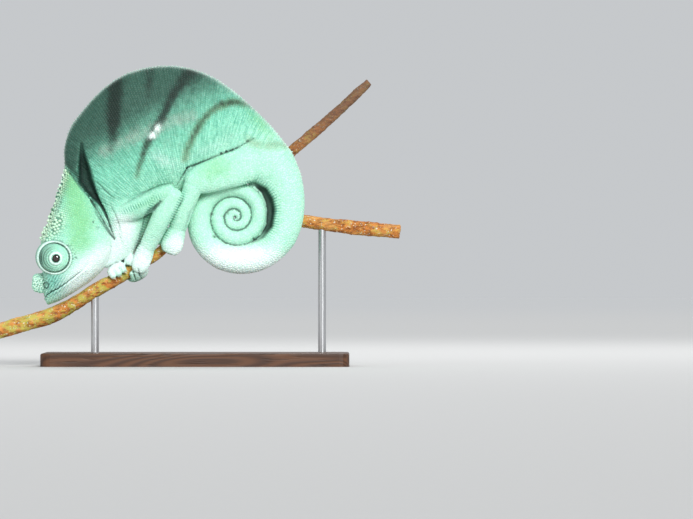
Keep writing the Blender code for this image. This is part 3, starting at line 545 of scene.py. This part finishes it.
# Painted shade in the hollows of the hide: the deeper a point lies below its neighbours, the darker it is
# painted, more so inside the tail's coil and less in one patch above it.
HOLLOW_DEEP = 0.35
body = points_of(skin)
links = edges_of(skin)
out = points_of(skin, normals=True)
hollow_shade = ((relaxed(body, links, 8) - body) * out).sum(1) / MM
hollow_shade *= 1 + 1.6 * blob(body, 24, 88, 14, 14) - 0.75 * np.clip(blob(body, 16, 107.5, 16, 5, 12), 0, 1)
phase, crease = creases(body)
paint(skin, dict(markings(body), hollow_shade=np.clip(hollow_shade / HOLLOW_DEEP, 0, 1), crease_at=phase, crease=crease))
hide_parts(*FLESH)
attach(skin, "root")


class Amount:
    """A number or colour that a material works out, so that its sums read as plain expressions."""

    def __init__(self, finish, socket):
        self.finish = finish
        self.socket = socket

    def sum_of(self, operation, first, second):
        return self.finish.put("Math", dict(operation=operation), {0: first, 1: second})

    def __add__(self, other):
        return self.sum_of("ADD", self, other)

    def __radd__(self, other):
        return self.sum_of("ADD", other, self)

    def __sub__(self, other):
        return self.sum_of("SUBTRACT", self, other)

    def __rsub__(self, other):
        return self.sum_of("SUBTRACT", other, self)

    def __mul__(self, other):
        return self.sum_of("MULTIPLY", self, other)

    def __rmul__(self, other):
        return self.sum_of("MULTIPLY", other, self)

    def clamped(self):
        return self.finish.put("MapRange", dict(clamp=True), {0: self})

    def eased(self, low, high):
        return self.finish.put("MapRange", dict(interpolation_type="SMOOTHSTEP"), {0: self, 1: low, 2: high})


class Finish:
    """A procedural material, put together node by node."""

    def __init__(self, name, **constants):
        self.material = bpy.data.materials.new(name)
        self.material.use_nodes = True
        self.tree = self.material.node_tree
        self.shader = self.tree.nodes["Principled BSDF"]
        for socket, value in constants.items():
            self.shader.inputs[socket.replace("_", " ")].default_value = value
        self.place = self.put("TexCoord", {}, {}, output="Object")

    def feed(self, socket, value):
        if isinstance(value, Amount):
            self.tree.links.new(value.socket, socket)
        elif isinstance(value, tuple) and len(value) == 3 and socket.type == "RGBA":
            socket.default_value = (*value, 1)
        else:
            socket.default_value = value

    def put(self, kind, settings, sockets, output=0):
        node = self.tree.nodes.new("ShaderNode" + kind)
        for name, value in settings.items():
            setattr(node, name, value)
        for key, value in sockets.items():
            self.feed(node.inputs[key], value)
        return Amount(self, node.outputs[output])

    def mark(self, name):
        return self.put("Attribute", dict(attribute_name=name), {}, output="Fac")

    def axes(self):
        first = self.put("SeparateXYZ", {}, {0: self.place})
        return [Amount(self, output) for output in first.socket.node.outputs]

    def vector(self, x, y, z):
        return self.put("CombineXYZ", {}, {0: x, 1: y, 2: z})

    def length(self, vector):
        return self.put("VectorMath", dict(operation="LENGTH"), {0: vector}, output="Value")

    def wave(self, value):
        return self.put("Math", dict(operation="SINE"), {0: value})

    def noise(self, size, detail=3, rough=0.55, at=None, warp=0.0):
        """Soft noise from 0 to 1 with spots of about one size, in metres."""
        return self.put("TexNoise", {}, {"Vector": at or self.place, "Scale": 1 / size, "Detail": detail,
                                         "Roughness": rough, "Distortion": warp})

    def mix(self, share, first, second, blend="MIX"):
        return self.put("Mix", dict(data_type="RGBA", blend_type=blend), {0: share, 6: first, 7: second}, 2)

    def bump(self, height, strength=1.0):
        """Relief from a height in millimetres."""
        normal = self.put("Bump", {}, {"Height": height, "Distance": MM, "Strength": strength})
        self.feed(self.shader.inputs["Normal"], normal)

    def colour(self, value):
        self.feed(self.shader.inputs["Base Color"], value)

    def roughness(self, value):
        self.feed(self.shader.inputs["Roughness"], value)

    def on(self, obj):
        obj.data.materials.clear()
        obj.data.materials.append(self.material)


def tone(code):
    """A colour written as six hexadecimal digits, as the shader's linear numbers."""
    parts = [int(code[i:i + 2], 16) / 255 for i in (0, 2, 4)]
    return tuple(part / 12.92 if part <= 0.04045 else ((part + 0.055) / 1.055) ** 2.4 for part in parts)


# The colours of the hide run from a white green below to a dusky green above, partly its own colours and
# partly painted light below and painted shade above. DEEPER is what a shaded place keeps of its own colour.
# The streaks of the flank fan out from a point near the tail's coil.
DEEPER = (0.24, 0.5, 0.45)
FAN = (-0.6, 69.6)
STREAKS_ROUND = 78
STREAKS_OUT = 130
STREAKS_ACROSS = 40
CREASE_PITCH = 1.5
CELL_SIZE = 0.0009
PIGMENTS = [("dusk_and_shade", 0.3, 0.9, "2d433b"), ("haze", 0.6, 0.42, "b6b9ae"), ("olive", 0.4, 0.55, "77834f")]


def hide_finish(name, scaly=False):
    """The colour, markings and relief of the hide. Its scales and spines share them, each scale with its own
    slight tint and a darker foot."""
    hide = Finish(name, Specular_IOR_Level=0.22, Subsurface_Weight=0.06, Subsurface_Scale=0.002)
    x, y, z = hide.axes()
    cloud = hide.noise(0.014, 4, 0.6)
    fleck = hide.noise(0.0035, 3, 0.6)

    def broken(name, spread=0.35):
        return (hide.mark(name) + (cloud - 0.5) * spread + (fleck - 0.5) * spread * 0.6).eased(0.1, 0.9)

    def deepened(colour, share):
        return hide.mix(share, colour, DEEPER, "MULTIPLY")

    x = x - FAN[0] * MM
    z = z - FAN[1] * MM
    ray = hide.put("Math", dict(operation="ARCTAN2"), {0: z, 1: x})
    reach = hide.length(hide.vector(x, 0.0, z))
    rows = hide.vector(ray * STREAKS_ROUND, reach * STREAKS_OUT, y * STREAKS_ACROSS)
    streaks = hide.noise(1.0, 3, 0.55, at=rows).eased(0.34, 0.62)
    faint = 1 - (1 - streaks) * hide.mark("fan") * (1 - hide.mark("dusk_and_shade") * 0.35)
    mottle = hide.noise(0.0017, 3, 0.65).eased(0.46, 0.7)
    # The pale lightens the hide, partly as its own colour and partly as painted light.
    colour = hide.mix(broken("pale"), tone("88d2b6"), tone("bdf0d6"))
    colour = hide.mix(broken("green", 0.5), colour, tone("8bcf97"))
    colour = hide.mix(hide.mark("aqua") * 0.8, colour, tone("86cebd"))
    # The white patches, partly the hide's own white and partly painted light.
    colour = hide.mix(broken("white", 0.3) * 0.92, colour, tone("f6fffb"))
    # The dusk among these carries painted shade as well as the dusky colour of the back.
    for pigment, spread, full, code in PIGMENTS:
        colour = hide.mix(broken(pigment, spread) * full, colour, tone(code))
    band = hide.mark("band") * 1.08 + (cloud - 0.5) * 0.45 + (fleck - 0.5) * 0.5 + (streaks - 0.6) * 0.2
    colour = hide.mix(band.eased(0.02, 1.0) * 0.9, colour, tone("1c2823"))
    colour = hide.mix(hide.mark("spot"), colour, tone("f6fbf4"))
    colour = hide.mix(hide.mark("rough") * 0.7, colour, tone("e3f3d6"))
    colour = hide.mix(hide.mark("ridge") * 0.7, colour, tone("deeee4"))
    colour = hide.mix(hide.mark("lump") * 0.6, colour, tone("d5efe2"))
    colour = deepened(colour, (1 - faint) * 0.48)
    colour = deepened(colour, mottle * (0.1 + hide.mark("fan") * 0.28))
    folds = hide.wave(hide.mark("crease_at") * (2 * math.pi / CREASE_PITCH) + cloud * 5).eased(-0.1, 0.8)
    colour = deepened(colour, folds * (hide.mark("crease") * (fleck + 0.3)).clamped())
    # The turrets' pale rims, with a painted highlight round each eye opening.
    colour = hide.mix(hide.mark("rim") * 0.9, colour, tone("f2fff8"))
    if scaly:
        colour = deepened(colour, hide.mark("tint") * 0.3)
        colour = deepened(colour, (1 - hide.mark("top")).eased(0.2, 1) * 0.5)
        grain = hide.noise(0.0004, 2)
        hide.bump(grain * 0.05)
        hide.roughness(0.42 + (cloud - 0.5) * 0.2 + grain * 0.1)
    else:
        cell = hide.put("TexVoronoi", {}, {"Vector": hide.place, "Scale": 1 / CELL_SIZE}, output="Distance")
        colour = deepened(colour, 0.3 + hide.mark("rough") * 0.7)
        colour = hide.mix(hide.mark("rough") * 0.6, colour, tone("2c5144"))
        hide.bump((1 - cell) * 0.15 + faint * 0.2)
        hide.roughness(0.55 + (cloud - 0.5) * 0.2 + cell * 0.1)
    # Painted shade: darker in the hollows of the hide.
    colour = hide.mix(hide.mark("hollow_shade").eased(0.1, 0.9) * 0.75, colour, tone("16302a"))
    # Painted shade of the grooves, folds, nostrils and turrets.
    colour = hide.mix(hide.mark("shade") * 0.9, colour, tone("0e1f1b"))
    hide.colour(colour)
    return hide


hide_finish("chameleon_hide").on(skin)


# The scales. The whole hide is covered with low horny grains, set in rows that fan out over the flank and in
# rings round the turrets, and fine on the lips, lids and toes. Along the casque's front and on the lumps of
# the snout lie coarser pale granules, each a little dome.
FOOT = 0.6
GRAIN_RINGS = [(0, 1.3, 0.74)]
BEAD_RINGS = [(0, 0.95, 0.92), (0, 0.33, 0.74), (0, 0.2, 0.6)]


def horn_pattern(sides, foot, rings, tip):
    """One horny piece to copy, open below: a ring is drawn up and in, each time with its drift, rise and
    size, and closed at a tip with its own drift and rise."""
    bpy.ops.object.select_all(action="DESELECT")
    bpy.ops.mesh.primitive_circle_add(vertices=sides, fill_type="NOTHING", location=(0, 0, -foot))
    bpy.ops.object.mode_set(mode="EDIT")
    bpy.ops.mesh.select_all(action="SELECT")
    middle = 0
    for drift, rise, size in rings:
        middle += drift
        bpy.ops.mesh.extrude_region_move(TRANSFORM_OT_translate=dict(value=(drift, 0, rise)))
        bpy.ops.transform.resize(value=(size, size, 1), center_override=(middle, 0, 0))
    bpy.ops.mesh.extrude_region_move(TRANSFORM_OT_translate=dict(value=(tip[0], 0, tip[1])))
    bpy.ops.mesh.merge(type="CENTER")
    bpy.ops.mesh.select_all(action="SELECT")
    bpy.ops.mesh.normals_make_consistent(inside=False)
    bpy.ops.object.mode_set(mode="OBJECT")
    bpy.ops.object.transform_apply(location=True)
    bpy.ops.object.select_all(action="DESELECT")
    return bpy.context.active_object


def tree_of(obj):
    """An object's faces, for finding the nearest or the first one along a sight line."""
    corners = [vert.co for vert in obj.data.vertices]
    return BVHTree.FromPolygons(corners, [face.vertices for face in obj.data.polygons])


grain = horn_pattern(6, FOOT, GRAIN_RINGS, (0, 0.3))
bead = horn_pattern(8, FOOT, BEAD_RINGS, (0, 0.08))
tree = tree_of(skin)

# Each scale has a small patch of the unwrap of the hide, which is made on a coarse copy of it.
COARSE_SHARE = 0.06
ISLAND_GAP = 0.002
PATCH_SIZE = 0.0015
unwrapped = added("unwrapped_hide", skin.data.copy())
unwrapped.select_set(True)
applied(unwrapped, "DECIMATE", ratio=COARSE_SHARE)
bpy.ops.object.mode_set(mode="EDIT")
bpy.ops.mesh.select_all(action="SELECT")
bpy.ops.uv.smart_project(angle_limit=math.radians(66), island_margin=ISLAND_GAP)
bpy.ops.object.mode_set(mode="OBJECT")
bpy.ops.object.select_all(action="DESELECT")
unwrap_tree = tree_of(unwrapped)
unwrap_uv = unwrapped.data.uv_layers.active.data


def unwrap_place(point):
    """Where a point of the hide lies on the unwrap of the hide's own shape."""
    found, normal, number, gap = unwrap_tree.find_nearest(Vector(point))
    face = unwrapped.data.polygons[number]
    corners = [unwrapped.data.vertices[i].co for i in face.vertices[:3]]
    flat = [unwrap_uv[i].uv.to_3d() for i in face.loop_indices[:3]]
    return barycentric_transform(found, *corners, *flat)[:2]


def strewn(name, pattern, places, ups, alongs, sizes):
    """Copies of one pattern joined into one mesh, each at its place with its own size and way to face, and
    with its own patch of the unwrap."""
    shape = points_of(pattern)
    corners = [list(face.vertices) for face in pattern.data.polygons]
    count = len(places)
    each = len(shape)
    alongs = alongs - ups * (alongs * ups).sum(1)[:, None]
    alongs /= np.maximum(np.linalg.norm(alongs, axis=1), 1e-9)[:, None]
    across = np.cross(ups, alongs)
    whole = places[:, None] + alongs[:, None] * (shape[None, :, :1] * sizes[:, None, :1])
    whole = whole + across[:, None] * (shape[None, :, 1:2] * sizes[:, None, 1:2])
    whole = whole + ups[:, None] * (shape[None, :, 2:] * sizes[:, None, 2:])
    loops = np.array([corner for face in corners for corner in face])
    lengths = np.array([len(face) for face in corners])
    mesh = bpy.data.meshes.new(name)
    mesh.vertices.add(count * each)
    mesh.vertices.foreach_set("co", whole.astype(np.float32).ravel())
    loops = (loops[None] + np.arange(count)[:, None] * each).ravel()
    mesh.loops.add(len(loops))
    mesh.loops.foreach_set("vertex_index", loops.astype(np.int32))
    mesh.polygons.add(count * len(lengths))
    starts = np.concatenate([[0], np.cumsum(np.tile(lengths, count))[:-1]])
    mesh.polygons.foreach_set("loop_start", starts.astype(np.int32))
    mesh.update(calc_edges=True)
    mesh.shade_smooth()
    flat = np.array([unwrap_place(place) for place in places])
    flat = flat[:, None] + shape[None, :, :2] * PATCH_SIZE
    flat = flat.reshape(-1, 2)[loops].astype(np.float32)
    mesh.uv_layers.new(name="OFBake").data.foreach_set("uv", flat.ravel())
    piece = added(name, mesh)
    pigments = {key: np.repeat(value, each) for key, value in markings(places).items()}
    heights = shape[:, 2] - shape[:, 2].min()
    pigments["top"] = np.tile(np.clip(heights / np.ptp(shape[:, 2]), 0, 1), count)
    pigments["tint"] = np.repeat(np.random.default_rng(count).random(count), each)
    # Each scale takes the painted shade of the hollow it stands in.
    faces = [skin.data.polygons[tree.find_nearest(Vector(place))[2]].vertices for place in places]
    sunk = [np.clip(hollow_shade[list(face)].mean() / HOLLOW_DEEP, 0, 1) for face in faces]
    pigments["hollow_shade"] = np.repeat(sunk, each)
    pigments["crease_at"], pigments["crease"] = creases(whole.reshape(-1, 3))
    paint(piece, pigments)
    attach(piece, "root")
    return piece


# How far apart the scales are, in millimetres: less inside the coil, at the snout and on the hands and feet.
PITCH = 1.35
TURRET_PITCH = 0.85
LEAST_PITCH = 0.75
MOST_PITCH = 2.4
FINER = [(0.35, 22, 90, 14, 14), (0.25, -84, 52, 14, 12), (0.35, -38, 60, 9, 9), (0.35, -46, 60, 9, 9),
         (0.35, -16, 74, 9, 9), (0.35, -2, 94, 9, 9)]


def scale_pitch(points):
    """How far apart the scales are at points on the hide, in millimetres."""
    pitch = np.full(len(points), PITCH)
    pitch -= 0.25 * stepped(-points[:, 0] / MM - 0.62 * (points[:, 2] / MM - 88.8), 54, 60)
    for share, *oval in FINER:
        pitch -= share * np.clip(blob(points, *oval), 0, 1)
    limbs = blob(points, -30, 92, 22, 12, 20) + blob(points, -6, 96, 8, 18, -20)
    pitch = np.minimum(pitch, PITCH - 0.3 * np.clip(limbs, 0, 1))
    marks = markings(points)
    pitch += 1.0 * marks["rough"] - 0.45 * marks["lump"]
    reach, along = turret_reach(points)
    pitch = np.where((reach < TURRET_EDGE) & (along > 0.35), TURRET_PITCH, pitch)
    return np.clip(pitch, LEAST_PITCH, MOST_PITCH)


# The rows of the flank run outwards from the point of the fan, in three belts. Each belt has its nearest and
# farthest reach, and the reach at which its rows are one gap apart. A turret's rings follow its middle line.
FLANK_BELTS = [(30, 48, 38), (48, 76, 61), (76, 125, 97)]
FAN_START = math.radians(-20)
FAN_TURN = math.radians(220)
ROW_GAP = 1.5
ROW_PITCH = 1.3
RING_PITCH = 0.9
SIGHT_FROM = 60


def seen(x, z, side):
    """The place and the way out of the hide at a spot of the side view, seen from one side."""
    start = Vector((x * MM, side * SIGHT_FROM * MM, z * MM))
    place, normal, number, gap = tree.ray_cast(start, Vector((0, -side, 0)))
    return place, normal


rowed = []
for side in (-1, 1):
    for low, high, middle in FLANK_BELTS:
        turn = ROW_GAP / middle
        for i in range(int(FAN_TURN / turn)):
            angle = FAN_START + i * turn
            for j in range(int((high - low) / ROW_PITCH)):
                far = low + (j + 0.5 * (i % 2)) * ROW_PITCH
                x = FAN[0] + far * math.cos(angle)
                z = FAN[1] + far * math.sin(angle)
                if z < flank_foot(x):
                    continue
                place, normal = seen(x, z, side)
                if place is not None and abs(normal.y) > 0.35:
                    rowed.append((*place, *normal))
    for ring in np.arange(2.4, 10.2, FOLD_PITCH / 1.35):
        count = max(8, int(2 * math.pi * ring / RING_PITCH))
        for i in range(count):
            angle = 2 * math.pi * i / count
            lean = 0.7
            for guess in range(3):
                x, z = turret_middle(lean)
                place, normal = seen(x + ring * math.cos(angle), z + ring * math.sin(angle), side)
                if place is None:
                    break
                lean = max(0, (abs(place.y) / MM - TURRET_ROOT[2]) / TURRET_DEEP) ** TURRET_LEAN
            if place is not None:
                rowed.append((*place, *normal))
rowed = np.array(rowed)

# Everywhere else a scale is tried at each point of the hide, in a mixed order, and kept where it has room.
# None is kept deep in a gap, a nostril or the mouth.
CELL = 2.4
CROWDED = 0.84
BARE_DEPTH = 1.2
AROUND = [(a, b, c) for a in (-1, 0, 1) for b in (-1, 0, 1) for c in (-1, 0, 1)]
order = np.random.default_rng(7).permutation(len(dense))
places = np.concatenate([rowed[:, :3], dense[order]])
ups = np.concatenate([rowed[:, 3:], dense_out[order]])
pitches = scale_pitch(places)
bare = np.maximum(gap_depth(places, CASQUE_GAP), gap_depth(places, COIL_GAP)) > BARE_DEPTH
bare |= (nostril_reach(places) < 0.8) | (gap_depth(places, MOUTH) > 0.4)
cells = {}


def has_room(spot, cell, least):
    """Whether no scale that is kept already lies nearer to a spot than the least gap."""
    for a, b, c in AROUND:
        for other in cells.get((cell[0] + a, cell[1] + b, cell[2] + c), ()):
            gap = (other[0] - spot[0]) ** 2 + (other[1] - spot[1]) ** 2 + (other[2] - spot[2]) ** 2
            if gap < least ** 2:
                return False
    return True


kept = []
spots = places / MM
boxes = np.floor(spots / CELL).astype(int)
for i, (spot, pitch, cell) in enumerate(zip(spots.tolist(), pitches.tolist(), boxes.tolist())):
    if not bare[i] and has_room(spot, cell, pitch * CROWDED):
        kept.append(i)
        cells.setdefault(tuple(cell), []).append(spot)
places, ups, pitches = places[kept], ups[kept], pitches[kept]
fan = places - np.array([FAN[0] * MM, 0, FAN[1] * MM])
fan[:, 1] = 0
draw = np.random.default_rng(11)
rough = markings(places)["rough"]
long = pitches * (0.56 + 0.05 * draw.random(len(kept))) * (1 - 0.16 * rough)
tall = pitches * (0.1 + 0.34 * rough) * (0.8 + 0.4 * draw.random(len(kept)))
sizes = np.stack([long * 1.15, long * 0.92, tall], 1) * MM

HEAD_END = -0.054
LIMBS_TOP = 0.112
GRANULE_ROUGH = 0.35
REGIONS = ("scales_head_left", "scales_trunk_left", "scales_limbs_left", "scales_head_right",
           "scales_trunk_right", "scales_limbs_right", "granules_left", "granules_right")
right = places[:, 1] > 0
region = np.where(places[:, 0] < HEAD_END, 0, 1 + (places[:, 2] < LIMBS_TOP)) + 3 * right
region = np.where(rough > GRANULE_ROUGH, 6 + right, region)
scale_finish = hide_finish("chameleon_scales", scaly=True)
for number, name in enumerate(REGIONS):
    chosen = region == number
    pattern = bead if name.startswith("granules") else grain
    piece = strewn(name, pattern, places[chosen], ups[chosen], fan[chosen], sizes[chosen])
    scale_finish.on(piece)
bpy.data.objects.remove(grain)
bpy.data.objects.remove(bead)


# The crest: one row of small pale cones along the back and down the nape, longer and finer than the grains.
# They stand where lines of sight from outside, towards the middle of the body, first meet the hide.
CREST_MIDDLE = Vector((-0.010, 0, 0.108))
CREST_SIGHTS = 900
CREST_FROM = 0.2
CREST_PITCH = 1.9 * MM
CREST_STEP = 1.5 * MM
bpy.ops.mesh.primitive_cone_add(vertices=8, radius1=1, radius2=0, depth=1.5, location=(0, 0, 0.25))
cone = bpy.context.active_object
bpy.ops.object.transform_apply(location=True)
line = []
for angle in np.linspace(math.radians(172), math.radians(4), CREST_SIGHTS):
    aim = Vector((math.cos(angle), 0, math.sin(angle)))
    place, normal, number, gap = tree.ray_cast(CREST_MIDDLE + aim * CREST_FROM, -aim)
    if place is not None:
        line.append((place, aim))
crest = []
walked = 0
for (one, aim), (two, turned) in zip(line, line[1:]):
    step = (two - one).length
    walked += step
    if walked > CREST_PITCH and step < CREST_STEP:
        crest.append((two, turned))
        walked = 0
draw = np.random.default_rng(5)
places = np.array([place for place, aim in crest])
ups = np.array([aim for place, aim in crest])
wide = draw.uniform(0.55, 0.75, len(crest))
sizes = np.stack([wide, wide, draw.uniform(0.6, 1.1, len(crest))], 1) * MM
spines = strewn("crest_spines", cone, places, ups, np.tile((0.0, 1.0, 0.0), (len(crest), 1)), sizes)
scale_finish.on(spines)
bpy.data.objects.remove(cone)
bpy.data.objects.remove(unwrapped)


# The eyes. Only a small dark disc of each shows, deep in the opening of the fused lids. Each is a glossy
# ball, a little wider than its solid.
EYE_WIDER = (1.15, 1, 1.15)
eye_finish = Finish("dark_eye", Roughness=0.08, Coat_Weight=1.0, Coat_Roughness=0.03)
glow = eye_finish.noise(0.0008)
eye_finish.colour(eye_finish.mix(glow.eased(0.4, 0.7), tone("0a0605"), tone("3a1d10")))
for name, node in (("eyeball_left", "eye_left"), ("eyeball_right", "eye_right")):
    low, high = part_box(node)
    bpy.ops.object.select_all(action="DESELECT")
    bpy.ops.mesh.primitive_uv_sphere_add(segments=40, ring_count=24, radius=1, location=(0, 0, 0))
    ball = bpy.context.active_object
    ball.name = ball.data.name = name
    move_to(ball, points_of(ball) * np.array((high - low) / 2) * EYE_WIDER + np.array((low + high) / 2))
    ball.data.shade_smooth()
    eye_finish.on(ball)
    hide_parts(node)
    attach(ball, "root")


# The claws: short, curved, pale horn points, one at the end of each toe, each where the solids have one.
# One hook is drawn up from a ring, bent forwards, and copied to each place, a little sunk into the toe.
HOOK_RINGS = [(0, 0.2, 1.05), (0.08, 0.25, 0.9), (0.22, 0.25, 0.8), (0.34, 0.22, 0.72), (0.4, 0.18, 0.55)]
CLAW_WIDE = 0.75 * MM
CLAW_SUNK = 0.2
hook = horn_pattern(10, 0.15, HOOK_RINGS, (0.25, 0.08))
tips = [pair for name in FLESH if name.startswith(("hand", "foot")) for pair in spikes[name]]
claws = []
for number, (tip, root) in enumerate(tips):
    claw = added("claw_%02d" % number, hook.data.copy())
    run = tip - root
    turn = run.to_track_quat("Z", "X").to_matrix()
    shape = points_of(hook) * np.array([CLAW_WIDE, CLAW_WIDE, run.length])
    move_to(claw, shape @ np.array(turn).T + np.array(root - run * CLAW_SUNK))
    claws.append(claw)
bpy.data.objects.remove(hook)
claws = joined("claws", claws)
claws.data.shade_smooth()
horn = Finish("claw_horn", Roughness=0.3, Coat_Weight=0.3)
streak = horn.noise(0.0006, 3, 0.6)
horn.colour(horn.mix(streak.eased(0.35, 0.7), tone("d9d2b8"), tone("8f8468")))
horn.bump(streak * 0.05)
horn.on(claws)
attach(claws, "root")


# The branch. It is a cut length of a forked, lichened twig with rough bark, whose three arms are one piece of
# wood, so the three solids are fused and given knots, ridges and flakes.
PERCH = ["perch_main", "perch_arm_level", "perch_arm_rising"]
BARK_SWELL = 0.25 * MM
branch = fused("branch", [welded_form(name, BARK_SWELL) for name in PERCH])
wood = relaxed(points_of(branch), edges_of(branch), 6)
move_to(branch, wood)
out = points_of(branch, normals=True)
knobs = np.array([noise.fractal(Vector((p[0] * 90, p[1] * 150, p[2] * 150)), 0.7, 2.0, 4) for p in wood])
pimples = np.array([noise.noise(Vector(p) * 520) for p in wood])
wood += out * ((0.38 * np.clip(knobs, -1, 1.2) + 0.28 * np.clip(pimples * 2.2 - 0.5, 0, 1)) * MM)[:, None]
move_to(branch, wood)
branch.data.shade_smooth()
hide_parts(*PERCH)
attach(branch, "root")

bark = Finish("lichened_bark", Specular_IOR_Level=0.3)
x, y, z = bark.axes()
drawn_out = bark.vector(x * 0.4, y, z)
patch = bark.noise(0.006, 4, 0.65, at=drawn_out)
fibres = bark.noise(0.0014, 4, 0.7, at=drawn_out)
speck = bark.noise(0.0011, 2, 0.5)
crust = bark.noise(0.0052, 5, 0.75, at=bark.vector(x * 0.8, y + 0.05, z))
lichen = bark.mix(x.eased(-0.05, 0.05), tone("b0b452"), tone("c2a750"))
shade = bark.mix(fibres.eased(0.35, 0.65), tone("7a421b"), tone("c9803a"))
shade = bark.mix(patch.eased(0.45, 0.7) * 0.8, shade, tone("d8a35c"))
shade = bark.mix((crust + 0.02 - x * 0.35).eased(0.5, 0.62) * 0.7, shade, lichen)
shade = bark.mix((crust - fibres * 0.25).eased(0.5, 0.58) * 0.6, shade, tone("8fa368"))
shade = bark.mix(speck.eased(0.62, 0.7) * 0.8, shade, tone("efe6cf"))
shade = bark.mix((1 - fibres).eased(0.6, 0.75) * 0.7, shade, tone("3b2212"))
shade = bark.mix(z.eased(0.1, 0.16) * 0.8, shade, tone("5c493e"))
bark.colour(shade)
bark.roughness(0.7 + fibres * 0.25)
bark.bump(fibres * 0.7 + patch * 0.8 + speck.eased(0.6, 0.72) * 0.3, strength=0.9)
bark.on(branch)


# The stand: a flat hardwood base with eased edges, and two plain steel rods let into it, which hold the
# branch from below. All three are shown as packed.
walnut = Finish("oiled_walnut", Specular_IOR_Level=0.35)
x, y, z = walnut.axes()
growth = walnut.noise(0.05, 3, 0.5, at=walnut.vector(x * 0.12, y, z), warp=0.6)
rings = walnut.wave(growth * 190) * 0.5 + 0.5
pores = walnut.noise(0.0012, 2, 0.6, at=walnut.vector(x * 0.08, y, z))
board = walnut.mix(rings * 0.8, tone("5a3a25"), tone("352014"))
board = walnut.mix(pores.eased(0.55, 0.75) * 0.5, board, tone("1d110a"))
walnut.colour(board)
walnut.roughness(0.35 + pores * 0.25)
walnut.bump(rings * 0.04 - pores.eased(0.55, 0.75) * 0.12)
walnut.on(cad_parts["stand_base"])
steel = Finish("brushed_steel", Metallic=1.0)
x, y, z = steel.axes()
brushing = steel.noise(0.002, 3, 0.6, at=steel.vector(x * 6, y * 6, z * 0.15))
steel.colour(steel.mix(brushing, tone("a9abad"), tone("d4d5d6")))
steel.roughness(0.22 + brushing * 0.2)
steel.bump(brushing * 0.05)
for name in ("stand_rod_left", "stand_rod_right"):
    steel.on(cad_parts[name])


# The studio: a wide pale paper floor, whose tone runs into the background's with distance, under a pale even
# light, with one large far soft lamp, a weak fill and a rim light behind.
FLOOR_REACH = 9
bpy.ops.mesh.primitive_circle_add(vertices=96, radius=FLOOR_REACH, fill_type="NGON", location=(0, 0, 0))
floor = bpy.context.active_object
floor.name = floor.data.name = "floor"
paper = Finish("pale_paper")
fibre = paper.noise(0.004)
sheet = paper.mix(fibre, tone("c6c6c5"), tone("cbcbca"))
away = paper.length(paper.place)
paper.colour(paper.mix(away.eased(2.5, 7.0), sheet, (0.94, 0.954, 0.976), "MULTIPLY"))
paper.roughness(0.88 + fibre * 0.08)
paper.on(floor)

world = bpy.data.worlds.new("studio")
bpy.context.scene.world = world
world.use_nodes = True
world.node_tree.nodes["Background"].inputs["Color"].default_value = (0.94, 0.97, 1, 1)
world.node_tree.nodes["Background"].inputs["Strength"].default_value = 0.6


def facing_way(way):
    """The turn that points a lamp along a way."""
    return Vector(way).to_track_quat("-Z", "Y").to_euler()


def soft_lamp(name, place, target, size, watts):
    """A square soft light aimed at a point."""
    lamp = added(name, bpy.data.lights.new(name, "AREA"))
    lamp.data.size = size
    lamp.data.energy = watts
    lamp.location = place
    lamp.rotation_euler = facing_way(Vector(target) - Vector(place))
    lamp.visible_camera = False


key = added("key", bpy.data.lights.new("key", "SUN"))
key.data.energy = 3.2
key.data.angle = math.radians(24)
key.rotation_euler = facing_way((-0.7, 2.2, -1.1))
soft_lamp("fill", (-1.8, -1.6, 0.7), (0, 0, 0.09), 1.6, 6)
soft_lamp("rim", (0.2, 0.9, 1.2), (0, 0, 0.1), 0.7, 7)

CAMERA_AWAY = 5.0
FRAME_WIDE = 0.4158
SENSOR = 36
camera = added("camera", bpy.data.cameras.new("camera"))
camera.data.sensor_width = SENSOR
camera.data.lens = SENSOR * CAMERA_AWAY / FRAME_WIDE
camera.location = (0.0903, -CAMERA_AWAY, 0.0639)
camera.rotation_euler = (math.pi / 2, 0, 0)
bpy.context.scene.camera = camera
bpy.context.scene.view_settings.view_transform = "Standard"
